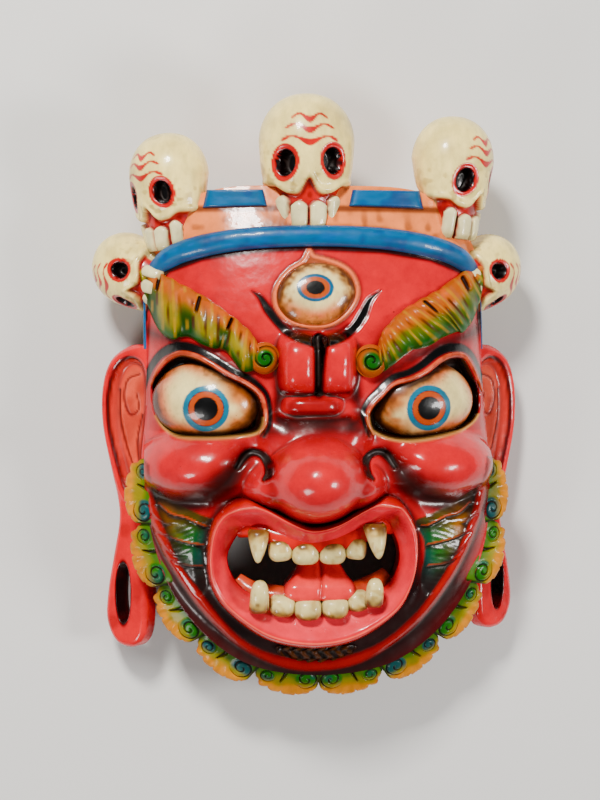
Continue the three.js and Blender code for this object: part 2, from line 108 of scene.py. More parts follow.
soft_lamp("key", (-0.38, 0.85, 1.1), 0.24, 32, (1.0, 0.97, 0.92))
soft_lamp("fill", (1.0, -0.2, 0.9), 0.3, 14, (1.0, 0.98, 0.96))
soft_lamp("low_fill", (-0.75, -0.75, 0.75), 0.34, 8, (1.0, 0.98, 0.96))

world = bpy.data.worlds.new("studio")
world.use_nodes = True
world.node_tree.nodes["Background"].inputs["Color"].default_value = (0.93, 0.95, 1.0, 1)
world.node_tree.nodes["Background"].inputs["Strength"].default_value = 0.16
bpy.context.scene.world = world
print("lamps:", [light.name for light in bpy.data.lights])


# %% [markdown]
# ## The floor
#
# The mask rests on its flat back rim, at height 0. A large pale sheet under it catches the
# soft shadow. It is no part of the object.

# %% Floor
FLOOR_REACH = 4.0  # metres from the middle to each edge of the sheet


def node(tree, kind, feeds=None, **settings):
    """Adds a shader node; a feed is a number, a colour or another node's socket."""
    made = tree.nodes.new(kind)
    for key, value in settings.items():
        setattr(made, key, value)
    for socket, value in (feeds or {}).items():
        if isinstance(value, bpy.types.NodeSocket):
            tree.links.new(value, made.inputs[socket])
        else:
            made.inputs[socket].default_value = value
    return made


def lay_floor():
    mesh = bpy.data.meshes.new("floor")
    corners = [(x * FLOOR_REACH, y * FLOOR_REACH, 0) for x,
               y in ((-1, -1), (1, -1), (1, 1), (-1, 1))]
    mesh.from_pydata(corners, [], [(0, 1, 2, 3)])
    floor = bpy.data.objects.new("floor", mesh)
    bpy.context.collection.objects.link(floor)
    paper = bpy.data.materials.new("pale_paper")
    paper.use_nodes = True
    shader = paper.node_tree.nodes["Principled BSDF"]
    shader.inputs["Base Color"].default_value = (0.72, 0.71, 0.69, 1)
    shader.inputs["Roughness"].default_value = 0.85
    shader.inputs["Specular IOR Level"].default_value = 0.2
    mesh.materials.append(paper)


lay_floor()

# %% [markdown]
# ## The carver's measures
#
# A few small tools set out every curve: a smooth value between stations, a smooth ring through
# points, the distance from a ring, and the cover of a brush stroke. They work on whole arrays
# of points at once, so a carving of a hundred thousand points is still quick to make.


# %% Smooth values and rings
def along(table):
    """A smooth value between rows of [position, value], held level past both ends."""
    at, value = np.array(table, float).T
    slope = np.zeros(len(at))
    for i in range(len(at)):
        a, b = max(i - 1, 0), min(i + 1, len(at) - 1)
        slope[i] = (value[b] - value[a]) / (at[b] - at[a])

    def read(where):
        t = np.clip(np.asarray(where, float), at[0], at[-1])
        i = np.clip(np.searchsorted(at, t, side="right") - 1, 0, len(at) - 2)
        span = at[i + 1] - at[i]
        s = (t - at[i]) / span
        rise = slope[i] * span * s * (1 - s) ** 2 - slope[i + 1] * span * s * s * (1 - s)
        return value[i] * (1 + 2 * s) * (1 - s) ** 2 + value[i + 1] * s * s * (3 - 2 * s) + rise

    return read


def smooth_line(points, steps=8, closed=False):
    """A curve through the points, as a dense polyline."""
    p = np.array(points, float)
    if closed:
        before, after, last = np.roll(p, 1, 0), np.roll(p, -1, 0), np.roll(p, -2, 0)
    else:
        before = np.vstack([2 * p[:1] - p[1:2], p[:-2]])
        last = np.vstack([p[2:], 2 * p[-1:] - p[-2:-1]])
        p, after = p[:-1], p[1:]
    t = (np.arange(steps) / steps)[None, :, None]
    a, b, c, d = (q[:, None, :] for q in (before, p, after, last))
    curve = 0.5 * (2 * b + (c - a) * t + (2 * a - 5 * b + 4 * c - d) * t**2
                   + (3 * b - a - 3 * c + d) * t**3)
    curve = curve.reshape(-1, p.shape[1])
    return curve if closed else np.vstack([curve, np.array(points[-1:], float)])


def circle(count):
    """Angles spread evenly round a full turn."""
    return np.linspace(0, 2 * np.pi, count, endpoint=False)


def soft(low, high, value):
    """0 below low, 1 above high, smooth between; low may be the larger one."""
    t = np.clip((value - low) / (high - low), 0, 1)
    return t * t * (3 - 2 * t)


def smooth_max(a, b, blend):
    """The higher of two surfaces, with their meeting rounded over about blend millimetres."""
    return 0.5 * (a + b + np.sqrt((a - b) ** 2 + blend**2))


# %% Distances and brush strokes
def nearest(line, x, y, closed=False, reach=16.0):
    """Distance from each point to a polyline, and how far along it that is, from 0 to 1."""
    line = np.asarray(line, float)[:, :2]
    ends = np.roll(line, -1, 0) if closed else line[1:]
    starts = line if closed else line[:-1]
    far = np.full(x.shape, 1e3)
    share = np.zeros(x.shape)
    low, high = line.min(0) - reach, line.max(0) + reach
    near = (x > low[0]) & (x < high[0]) & (y > low[1]) & (y < high[1])
    px, py = x[near], y[near]
    best, place = np.full(px.shape, 1e6), np.zeros(px.shape)
    count = len(starts)
    for i, ((ax, ay), (bx, by)) in enumerate(zip(starts, ends)):
        ux, uy = bx - ax, by - ay
        t = np.clip(((px - ax) * ux + (py - ay) * uy) / (ux * ux + uy * uy + 1e-12), 0, 1)
        d = (px - ax - t * ux) ** 2 + (py - ay - t * uy) ** 2
        closer = d < best
        best[closer] = d[closer]
        place[closer] = (i + t[closer]) / count
    far[near], share[near] = np.sqrt(best), place
    return far, share


def ring_gap(ring, x, y, reach=16.0):
    """Signed distance to a closed ring: negative inside."""
    distance, _ = nearest(ring, x, y, closed=True, reach=reach)
    ring = np.asarray(ring, float)[:, :2]
    inside = np.zeros(x.shape, bool)
    low, high = ring.min(0), ring.max(0)
    near = (x > low[0]) & (x < high[0]) & (y > low[1]) & (y < high[1])
    px, py = x[near], y[near]
    odd = np.zeros(px.shape, bool)
    for (ax, ay), (bx, by) in zip(ring, np.roll(ring, -1, 0)):
        if ay != by:
            odd ^= ((ay > py) != (by > py)) & (px < (bx - ax) * (py - ay) / (by - ay) + ax)
    inside[near] = odd
    return np.where(inside, -distance, distance)


def stroke(points, widths, x, y, feather=0.7):
    """Cover of one brush stroke whose half width follows widths along it."""
    distance, share = nearest(smooth_line(points), x, y, reach=max(widths) + 3)
    half = np.interp(share, np.linspace(0, 1, len(widths)), widths)
    return soft(half + feather, half - feather, distance)


def oval(x, y, cx, cy, rx, ry, turn=0.0):
    """1 on the edge of an ellipse, 0 at its middle."""
    c, s = math.cos(math.radians(turn)), math.sin(math.radians(turn))
    u, v = (x - cx) * c + (y - cy) * s, (y - cy) * c - (x - cx) * s
    return np.hypot(u / rx, v / ry)


SCATTER, SPREAD = (12.9898, 78.233, 37.719), 43758.5453  # uneven, so that no pattern shows


def mottle(points, size, seed=0):
    """Smooth noise from 0 to 1, with lumps of the given size in millimetres."""
    p = np.atleast_2d(points) / size + 17.3 * (seed + 1)
    cell = np.floor(p)
    f = p - cell
    f = f * f * (3 - 2 * f)
    total = np.zeros(len(p))
    for corner in product((0, 1), repeat=3):
        c = cell + corner
        value = np.sin(c @ SCATTER + seed) * SPREAD
        weight = np.prod(np.where(corner, f, 1 - f), axis=1)
        total += weight * (value - np.floor(value))
    return total


print("half width of a stroke's middle:",
      float(stroke([(0, 0), (10, 0)], [1, 2, 1], np.array([5.0]), np.array([0.0]))[0]))


# %% [markdown]
# ## Paint
#
# The real mask is brushed in flat bright colours, shaded with a darker tone in the hollows,
# rubbed with a dark varnish that stays in the creases, and lacquered. So each piece carries
# its own paint as a colour on every point, laid in coats, and a second value for the grime
# and painted shade that its hollows hold. One shader then adds what paint does on wood: brush
# streaks, small stains, tiny chips, uneven gloss and the faint waves of the knife below the
# lacquer.


# %% Colours
VEIL, CHROMA = 0.016, 0.14  # light taken off, and push away from grey
POT_GAIN, POT_DEPTH = 1.04, 1.35  # how much stronger the pot is than the paint looks


def pigment(red, green, blue):
    """A colour as it should be seen, 0 to 255, turned into what the pot must hold.

    Varnish and lamps lay a pale veil over the paint and bright tones lose colour, so the veil is
    taken off and the hue is pushed away from grey.
    """
    c = np.array([red, green, blue], float) / 255
    light = np.where(c < 0.04045, c / 12.92, ((c + 0.055) / 1.055) ** 2.4) - VEIL
    return POT_GAIN * np.clip(light + CHROMA * (light - light.mean()), 0, 1) ** POT_DEPTH


RED = pigment(208, 10, 74)
DEEP_RED = pigment(120, 8, 26)
PEACH = pigment(240, 160, 112)
STAIN = pigment(120, 84, 40)
DARK = pigment(34, 18, 16)
BROWN = pigment(74, 34, 24)
BLUE = pigment(0, 118, 156)
GOLD = pigment(184, 114, 0)
LEAF = pigment(116, 124, 0)
GREEN = pigment(36, 110, 18)
TEAL = pigment(12, 98, 92)
BLACK = pigment(16, 12, 12)
EYE_WHITE = pigment(244, 230, 178)


def prime(count, colour):
    """The first coat: one colour on every point."""
    return np.tile(colour, (count, 1))


def coat(paint, cover, colour):
    """Lays a colour, or another whole coat of paint, over the paint where cover is 1."""
    cover = np.clip(cover, 0, 1)[:, None]
    paint[:] = paint * (1 - cover) + np.asarray(colour) * cover


# %% Lacquered paint, as a material
VARNISH = (0.13, 0.055, 0.02, 1)
DIRT_AND_SHADE = (0.018, 0.009, 0.007, 1)
BARE_WOOD = (0.045, 0.022, 0.012, 1)


def noise(tree, place, scale, detail, roughness):
    feeds = {"Vector": place, "Scale": scale, "Detail": detail, "Roughness": roughness}
    return node(tree, "ShaderNodeTexNoise", feeds).outputs["Fac"]


def remap(tree, value, low, high, to_low, to_high):
    """Stretches low..high to to_low..to_high, and clips the value there."""
    feeds = {"Value": value, "From Min": low, "From Max": high, "To Min": to_low,
             "To Max": to_high}
    return node(tree, "ShaderNodeMapRange", feeds).outputs["Result"]


def mix(tree, share, under, over, **settings):
    feeds = {"Factor": share, "A": under, "B": over}
    return node(tree, "ShaderNodeMix", feeds, data_type="RGBA", **settings).outputs["Result"]


def bump(tree, height, strength, distance, **feeds):
    feeds = {"Height": height, "Strength": strength, "Distance": distance, **feeds}
    return node(tree, "ShaderNodeBump", feeds).outputs["Normal"]


def lacquer(name, gloss=0.16, grime_and_shade=0.9, stain=0.25, waves=0.0006, streak=(1, 1, 1), shine=0.36,
            glint=0.28):
    """Paint over carved wood, with dark varnish and painted shade in the creases and a clear coat.
    """
    finish = bpy.data.materials.new(name)
    finish.use_nodes = True
    tree = finish.node_tree
    shader = tree.nodes["Principled BSDF"]
    place = node(tree, "ShaderNodeTexCoord").outputs["Object"]
    stretched = node(tree, "ShaderNodeMapping",
                     {"Vector": place, "Scale": streak}).outputs["Vector"]
    paint = node(tree, "ShaderNodeAttribute", attribute_name="paint").outputs["Color"]
    crease = node(tree, "ShaderNodeAttribute", attribute_name="grime_and_shade").outputs["Fac"]
    brush = noise(tree, stretched, 90, 7, 0.62)
    patches = noise(tree, place, 26, 5, 0.55)
    tone = remap(tree, brush, 0.3, 0.7, 0.82, 1.12)
    toned = node(tree, "ShaderNodeHueSaturation", {"Value": tone, "Color": paint}).outputs["Color"]
    # old varnish stains, and dirt and painted shade held by the creases
    smear = remap(tree, patches, 0.52, 0.78, 0.0, stain)
    stained = mix(tree, smear, toned, VARNISH, blend_type="MULTIPLY")
    uneven = node(tree, "ShaderNodeMath", {0: crease, 1: brush},
                  operation="MULTIPLY").outputs["Value"]
    held = remap(tree, uneven, 0.06, 0.42, 0.0, grime_and_shade)
    dirty_and_shaded = mix(tree, held, stained, DIRT_AND_SHADE)
    # pinprick chips that show dark wood
    chip = remap(tree, noise(tree, place, 210, 3, 0.7), 0.735, 0.755, 0.0, 0.8)
    final = mix(tree, chip, dirty_and_shaded, BARE_WOOD)
    # uneven gloss, duller where dirt and painted shade are held
    rough = remap(tree, patches, 0.3, 0.7, gloss, gloss + 0.16)
    dull = node(tree, "ShaderNodeMath", {0: held, 1: 0.3, 2: rough},
                operation="MULTIPLY_ADD").outputs["Value"]
    coated = node(tree, "ShaderNodeMath", {0: held, 1: -1.2 * shine, 2: shine},
                  operation="MULTIPLY_ADD", use_clamp=True).outputs["Value"]
    # the knife's waves lie under the lacquer, brush grain and chips in the paint alone
    wave = bump(tree, noise(tree, place, 95, 2, 0.4), 1.0, waves)
    grain = bump(tree, noise(tree, place, 520, 4, 0.6), 0.5, 0.0001, Normal=wave)
    chipped = bump(tree, chip, 0.6, -0.0002, Normal=grain)
    links = {"Base Color": final, "Roughness": dull, "Normal": chipped, "Coat Weight": coated,
             "Coat Normal": wave}
    for socket, value in links.items():
        tree.links.new(value, shader.inputs[socket])
    shader.inputs["Coat Roughness"].default_value = 0.07
    shader.inputs["Specular IOR Level"].default_value = glint
    return finish


FACE_PAINT = lacquer("lacquered_face_paint")
IVORY_PAINT = lacquer("stained_ivory_paint", gloss=0.2, grime_and_shade=0.8, stain=0.45, streak=(2.5, 1, 1),
                      waves=0.0004)
LEAF_PAINT = lacquer("gold_and_green_leaf_paint", gloss=0.3, grime_and_shade=0.9, stain=0.4, shine=0.1,
                     glint=0.12)
BAND_PAINT = lacquer("crown_band_paint", gloss=0.3, grime_and_shade=0.85, stain=0.5, streak=(0.6, 2.5, 1),
                     shine=0.24)
print("finishes:", [m.name for m in (FACE_PAINT, IVORY_PAINT, LEAF_PAINT, BAND_PAINT)])

# %% [markdown]
# ## From points to a carved piece
#
# Every piece is a grid of points bent into shape, closed into a solid skin. The grime and
# painted shade come from the form itself: where a smoothed copy of the surface lies above the
# real one, the surface is hollow there, and dark varnish and painted shade gather.


# %% Grids and skins
def weave(rows, columns, close_rows=False, close_columns=False):
    """Four-sided faces over a grid of points numbered row by row."""
    r = np.arange(rows if close_rows else rows - 1)[:, None]
    c = np.arange(columns if close_columns else columns - 1)[None, :]
    a = r * columns + c
    b = r * columns + (c + 1) % columns
    d = ((r + 1) % rows) * columns + c
    e = ((r + 1) % rows) * columns + (c + 1) % columns
    return np.stack([a, b, e, d], -1).reshape(-1, 4)


def end_caps(rows, around):
    """The two faces that close a tube of points, at its first and its last row."""
    return [list(range(around)), list(range((rows - 1) * around, rows * around))[::-1]]


def creases(points, edges, rounds):
    """The way from each point to a smoothed copy of its surface, in millimetres."""
    count = len(points)
    a, b = np.concatenate([edges[:, 0], edges[:, 1]]), np.concatenate([edges[:, 1], edges[:, 0]])
    share = np.maximum(np.bincount(a, minlength=count), 1)
    smooth = points.copy()
    for _ in range(rounds):
        total = np.stack([np.bincount(a, smooth[b, k], count) for k in range(3)], -1)
        smooth = 0.4 * smooth + 0.6 * total / share[:, None]
    return smooth - points


def mesh_edges(mesh):
    edges = np.empty(len(mesh.edges) * 2, np.int32)
    mesh.edges.foreach_get("vertices", edges)
    return edges.reshape(-1, 2)


def mesh_points(mesh):
    points = np.empty(len(mesh.vertices) * 3)
    mesh.vertices.foreach_get("co", points)
    return points.reshape(-1, 3) / MM + DATUM


def write_paint(mesh, paint, rounds=8, scale=0.9, extra_grime_and_shade=None):
    """Stores the paint, and the grime with painted shade; a crease as deep as scale, in
    millimetres, is full.
    """
    points = mesh_points(mesh)
    normals = np.empty(len(mesh.vertices) * 3)
    mesh.vertices.foreach_get("normal", normals)
    lift = creases(points, mesh_edges(mesh), rounds)
    grime_and_shade = np.clip((lift * normals.reshape(-1, 3)).sum(1) / scale, 0, 1)
    if extra_grime_and_shade is not None:
        grime_and_shade = np.maximum(grime_and_shade, extra_grime_and_shade)
    for name in ("paint", "grime_and_shade"):
        if name in mesh.attributes:
            mesh.attributes.remove(mesh.attributes[name])
    colours = mesh.attributes.new("paint", "FLOAT_COLOR", "POINT")
    rgba = np.column_stack([paint, np.ones(len(paint))]).astype(np.float32)
    colours.data.foreach_set("color", rgba.ravel())
    dirt = mesh.attributes.new("grime_and_shade", "FLOAT", "POINT")
    dirt.data.foreach_set("value", grime_and_shade.astype(np.float32))


def piece(name, points, faces, finish=None):
    """A piece of the mask, from millimetre points and lists of faces; a cutter has no finish."""
    mesh = bpy.data.meshes.new(name)
    mesh.from_pydata(to_frame(points).tolist(), [], faces)
    mesh.validate()
    mesh.shade_smooth()
    made = bpy.data.objects.new(name, mesh)
    bpy.context.collection.objects.link(made)
    if finish:
        mesh.materials.append(finish)
        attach(made, "root")
    return made


def give_finish(mesh, finish):
    """One material on every face, also on those that a cutter left."""
    mesh.materials.clear()
    mesh.materials.append(finish)
    mesh.polygons.foreach_set("material_index", np.zeros(len(mesh.polygons), np.int32))


def tidy_normals(mesh, join=0.0):
    """Joins points closer than join, turns every face of a closed skin outward and smooths it."""
    work = bmesh.new()
    work.from_mesh(mesh)
    if join:
        bmesh.ops.remove_doubles(work, verts=work.verts, dist=join)
    bmesh.ops.recalc_face_normals(work, faces=work.faces)
    work.to_mesh(mesh)
    work.free()
    mesh.shade_smooth()


def tell(what, pieces):
    """Prints how many points each piece has."""
    print(what + ":", {made.name: len(made.data.vertices) for made in pieces})


def cut(target, tool, operation="DIFFERENCE"):
    """Cuts one carved piece with another, then throws the cutter away."""
    change = target.modifiers.new("cut", "BOOLEAN")
    change.operation, change.solver, change.object = operation, "MANIFOLD", tool
    graph = bpy.context.evaluated_depsgraph_get()
    result = bpy.data.meshes.new_from_object(target.evaluated_get(graph))
    target.modifiers.remove(change)
    old = target.data
    target.data = result
    bpy.data.meshes.remove(old)
    bpy.data.objects.remove(tool)


# %% [markdown]
# ## The block
#
# The head starts as a dome whose middle line, width and height change from chin to crown. The
# same few numbers made the CAD block, so the carving sits where its solid is. Noses, cheeks
# and folds are mounds blended into the dome, and sockets and grooves are taken out of it.

# %% The dome
midline = along([[-90, 8], [-20, 5.5], [60, 4], [130, 3]])
half_width = along([[-172, 20], [-167, 38], [-160, 52], [-147, 71], [-121, 92], [-92, 104],
                    [-60, 109], [-30, 109], [0, 107], [30, 106], [60, 105], [90, 103], [112, 96],
                    [134, 88]])
spine_height = along([[-190, 44], [-165, 58], [-140, 74], [-100, 88], [-60, 97], [-20, 102],
                      [20, 104], [60, 102], [100, 95], [134, 84]])
edge_height = along([[-190, 40], [-120, 46], [-60, 53], [0, 50], [60, 45], [100, 44], [134, 58]])
HEAD_HALF = [(0, 134), (50, 133.5), (75, 127), (93, 112), (103, 90), (105, 60), (105, 30),
             (106, 0), (108, -30), (108, -60), (103, -92), (91, -121), (70, -147), (41, -165),
             (0, -171)]
WALL = 14.0


def dome(x, y):
    """Height of the bare block: a rounded arch from side to side, low at the edges."""
    across = np.clip(np.abs(x - midline(y)) / half_width(y), 0, 1)
    low = edge_height(y)
    return low + (spine_height(y) - low) * np.sqrt(1 - across**2.6)


def both_sides(half):
    """A ring through a half outline and its mirror image, clockwise from the top."""
    right = [(float(midline(y)) + x, y) for x, y in half]
    left = [(float(midline(y)) - x, y) for x, y in half[-2:0:-1]]
    return right + left


HEAD_RING = smooth_line(both_sides(HEAD_HALF), 6, closed=True)
print("dome over the datum:", round(float(dome(np.array(0.0), np.array(0.0))), 1), "mm")

# %% [markdown]
# ## Lines of the face
#
# These are the lines that a carver draws on the block before cutting: the openings of the
# eyes, the lips and the mouth, the forked groove between the brows, the strip along the jaw
# and the dark hollows beside the nose. A mask like this is carved by eye, so its two sides
# aren't mirror images and each side has its own line where they differ.

# %% Eye, mouth and nose lines
SIDES = (-1, 1)  # left and right, as the viewer sees them
SIDE_NAME = {-1: "left", 1: "right"}
EYE_OPENING = {
    -1: [(-97, 11), (-92.7, 20), (-87.3, 26.5), (-79.9, 30.4), (-71.4, 29), (-62.6, 24.6),
         (-52.2, 18), (-40.7, 12.2),
         (-33.4, 6), (-30.4, -3), (-30.8, -11), (-34.5, -16.4), (-46, -18.6), (-65.5, -19.5),
         (-84, -18), (-94.5, -7)],
    1: [(37.6, -16), (34.4, -10.5), (34, -5), (36.8, 0), (41.6, 4.6), (49, 11.8), (60, 14.8),
        (70, 19), (79, 25.8), (86, 28.8),
        (93.5, 28.8), (97.5, 25), (103.5, 15), (107.5, 5), (106, -7), (96.5, -14.5), (84, -18),
        (62, -21.5), (48, -20.5)],
}
LID_LINE = {  # the middle of the raised lid, from its nose end over the top to the temple
    -1: [(-33, -16.5), (-29.6, -11), (-29.1, -3), (-32.2, 7), (-40, 13.6), (-51.7, 19.4),
         (-62, 26),
         (-71.1, 30.5), (-80.2, 31.9), (-88, 28), (-93.8, 21), (-98, 12)],
    1: [(36.4, -17.5), (33, -11), (32.6, -4.6), (35.8, 1), (41.2, 6.4), (48.6, 13.2), (59.9, 16.5),
        (69.1, 20.7), (78.5, 27.4),
        (85.8, 30.5), (93.7, 30.5), (98.6, 26.4), (104.8, 16), (109.3, 7.6)],
}
LID_BLACK = {  # the thick black line outside the lid, which runs on down the temple
    -1: [(-30.4, -18.5), (-27.2, -11.5), (-26.5, -3), (-28.8, 7.6), (-37.6, 16), (-49.5, 22),
         (-59.6, 28.4),
         (-69.4, 34), (-80.6, 36), (-91, 31.6), (-97.4, 23.4), (-101, 14), (-103, 4.8),
         (-104.5, -6.3), (-106, -22)],
    1: [(33.6, -18.5), (30.4, -11), (29.8, -3.6), (33.2, 3.4), (39.4, 9.6), (48, 16.8),
        (58.6, 20.2), (66.8, 24.6), (76, 31.4),
        (84.6, 34.9), (94.6, 34.6), (102, 29.6), (107.6, 20), (112.4, 9.5), (115.4, -3.4),
        (118, -22)],
}
BLACK_WIDTHS = [0.8, 1.4, 1.6, 1.8, 2.0, 2.2, 2.4, 2.8, 3.0, 2.4, 1.9, 1.6, 1.5, 1.0]
NOSE = dict(x=1.5, y=-44.5, width=32.0, height=27.5, top=147.6)
CHEEK = dict(mid=5.5, half=72.0, y=-37.0, width=40.0, height=25.0, base=66.0, rise=44.0)
LIP_RING = smooth_line([(-64.1, -94.8), (-61.7, -73.8), (-52.1, -60.7), (-41.9, -56.6),
                        (-31.7, -59),
                        (-14.8, -68.2), (-1, -73.1), (15.3, -69.6), (33.5, -59.5), (44.4, -55.3),
                        (54.7, -59.6), (63.9, -74.8), (65.7, -93), (62.4, -112.2), (53.6, -128.6),
                        (30, -145), (2.1, -150.2), (-28, -144.4), (-51.8, -126.6),
                        (-61.5, -111.2)], 8, closed=True)
MOUTH_RING = smooth_line([(-51.5, -94.8), (-46.7, -81.4), (-40.6, -74.8), (-30.9, -76.7),
                          (-13.8, -83.5), (0.2, -86.7), (19.8, -82), (35.1, -73.6), (44.3, -71.2),
                          (52.3, -82.3), (54.8, -94.5), (51.1, -106.8), (44.4, -114), (29, -121.9),
                          (0.2, -125.8), (-26, -121.3), (-44.3, -110.7)], 8, closed=True)
NOSTRIL_HOOK = [(-31, -43.5), (-28, -40), (-27.6, -34.5), (-31, -29.8), (-36.5, -28.2), (-42, -31),
                (-46, -37)]
NOSTRIL_WIDTHS = [1.0, 2.4, 2.8, 2.4, 2.2, 2.4, 1.4]
CHEEK_VALLEY = [(-40, -29), (-47, -38), (-54.5, -47.5), (-66, -56), (-82, -60.5), (-97, -57)]
VALLEY_WIDTHS = [2.5, 5, 7, 6.5, 5, 3]
# twice the middle line, for lines drawn once: at the mouth, nostrils, cheeks and brows, whiskers
SIDE_MIRROR, HOOK_MIRROR, BROW_MIRROR, WHISKER_MIRROR = 3.0, 4.0, 5.0, 7.0


def mirrored(line, side, twice_mid=SIDE_MIRROR):
    """A line drawn for the left, or its mirror image for the right."""
    return [(x if side < 0 else twice_mid - x, y) for x, y in line]


print("eye openings are", [round(float(np.ptp(np.array(r)[:, 0]))) for r in EYE_OPENING.values()],
      "mm wide")

# %% Third eye, groove, jaw and whisker lines
THIRD_RING = smooth_line([(-2.3, 94.5), (-6, 88), (-14.3, 82.6), (-20.4, 75.8), (-23.5, 68.6),
                          (-23.0, 60.7), (-19.1, 54.2),
                          (-12.6, 49.6), (-2.8, 47.3), (7.7, 47.7), (15.6, 51), (22.2, 56.9),
                          (26.9, 64.7), (27.4, 72.6),
                          (23.9, 80.5), (17.3, 85.7), (8.2, 89), (1, 91)], 6, closed=True)
THIRD_BALL = smooth_line([(-6, 85), (-13.6, 80.6), (-19, 74.6), (-21.4, 68), (-20.8, 61),
                          (-17, 54.8), (-11, 50.8), (-2, 49),
                          (7.2, 49.5), (14.3, 53), (20.4, 58.8), (24.4, 66), (24.6, 72.5),
                          (21.2, 79.4), (15, 83.6), (5, 86)], 6, closed=True)
GROOVE_STEM = [(3.6, 39), (3.2, 30), (2.7, 19), (3, 8)]
GROOVE_ARMS = [[(3, 38), (-3, 38.6), (-13, 42.5), (-20.8, 49.7), (-27.3, 58.2), (-31.8, 65.4),
                (-37, 69.5)],
               [(5, 38), (10.6, 39.2), (18.6, 42.5), (25.2, 47.7), (30.6, 55.6), (34.7, 64),
                (41.5, 70)]]
ARM_WIDTHS = [3.0, 2.8, 2.6, 2.7, 2.9, 1.9, 0.3]
JAW_INNER = [(-99.7, -36), (-96.6, -58), (-90.5, -75.5), (-81.2, -97.5), (-67.5, -116.4),
             (-51.9, -136.6), (-28.8, -154.5), (6.5, -161.3), (40, -153), (64, -134), (80, -113),
             (92, -92), (101, -70), (106, -50), (109, -32)]
JAW_OUTER = [(-106.5, -30), (-103.5, -57), (-99, -72.7), (-91.5, -90.3), (-80.5, -109.2),
             (-65.3, -130.8), (-43.4, -151.8), (-17.2, -165.2), (6.8, -168), (33, -163.5),
             (57, -149), (75, -131), (91, -108), (103, -84), (110, -62), (115, -34)]
JAW_RING = smooth_line(JAW_INNER, 4).tolist() + smooth_line(JAW_OUTER, 4)[::-1].tolist()
ROLL_HALF = [(0, 103), (40, 101.5), (70, 97), (90, 90), (101, 78), (104, 58), (105, 34)]
WHISKER_RING = {
    side: smooth_line(mirrored([(-104, -56), (-99.5, -70), (-92, -86), (-81, -106), (-69, -120),
                                (-62, -112), (-63.6, -95), (-62.8, -83.6), (-57.5, -72),
                                (-68, -67),
                                (-84, -60), (-98, -50)], side, WHISKER_MIRROR), 5, closed=True)
    for side in SIDES}
WHISKER_SLITS = {
    side: [mirrored(slit, side, WHISKER_MIRROR) for slit in (
        [(-93, -62), (-86, -67.5), (-76, -70), (-66, -74.5), (-62, -75)],
        [(-97, -68), (-90, -74)],
        [(-93, -79), (-86, -82.5), (-77, -85), (-66, -87)],
        [(-90, -88), (-84, -93.5)],
        [(-85, -96), (-79, -99.5), (-67, -100.5)])]
    for side in SIDES}
print("jaw strip is about",
      round(float(nearest(JAW_OUTER, np.array([-52.0]), np.array([-136.6]))[0][0]), 1), "mm wide")

# %% [markdown]
# ## The carved front
#
# The front of the face is one height for each point seen from above, which suits a mask: it is
# carved from the front with gouges and has no undercuts that matter. Mounds blend where skin
# is full, and steep steps are left where the carver cut straight down.


# %% Mounds
def mound(x, y, at, radii, base, rise, fullness=0.5):
    """The top of an egg shape, which keeps falling outside its edge.

    A higher fullness slopes more gently.
    """
    reach = np.hypot((x - at[0]) / radii[0], (y - at[1]) / radii[1])
    return base + rise * np.where(reach < 1, np.clip(1 - reach**2, 0, 1) ** fullness,
                                  -2.2 * (reach - 1))


def soft_skin(x, y):
    """The face before any line is cut: dome, cheeks, nose, bulges and fold."""
    z = dome(x, y)
    for side in SIDES:
        cx = CHEEK["mid"] + side * CHEEK["half"]
        cheek = mound(x, y, (cx, CHEEK["y"]), (CHEEK["width"], CHEEK["height"]), CHEEK["base"],
                      CHEEK["rise"])
        z = smooth_max(z, cheek - side * (x - cx) * math.tan(math.radians(10)), 5)
        across, up = (x - 2.2 - side * 11.2) / 11.5, (y - 25) / 17.5
        bulge = 119.5 - 10.5 * (np.abs(across) ** 3 + np.abs(up) ** 3.4) + 1.2 * np.clip(up, 0, 1)
        z = smooth_max(z, np.maximum(bulge, 60), 3.0)
        z = smooth_max(z, mound(x, y, (1.5 + side * 27.5, -50), (17, 16.5), 92, 31, 0.7), 7.0)
        # skin gathers into a ridge from the inner brow down beside the bridge of the nose
        z = smooth_max(z, mound(x, y, (1.5 + side * 21, -18), (15, 17), 90, 22), 4.0)
    z = smooth_max(z, mound(x, y, (1.5, -22), (26, 22), 90, 26, 0.7), 10)
    pad_rise = 114.5 - 9 * (np.abs((x + 0.8) / 18.4) ** 4 + np.abs((y - 0.2) / 6.6) ** 3)
    z = smooth_max(z, np.maximum(pad_rise, 60), 1.5)
    return smooth_max(z, mound(x, y, (NOSE["x"], NOSE["y"]), (NOSE["width"], NOSE["height"]),
                               NOSE["top"] - 45, 45, 0.66), 8)


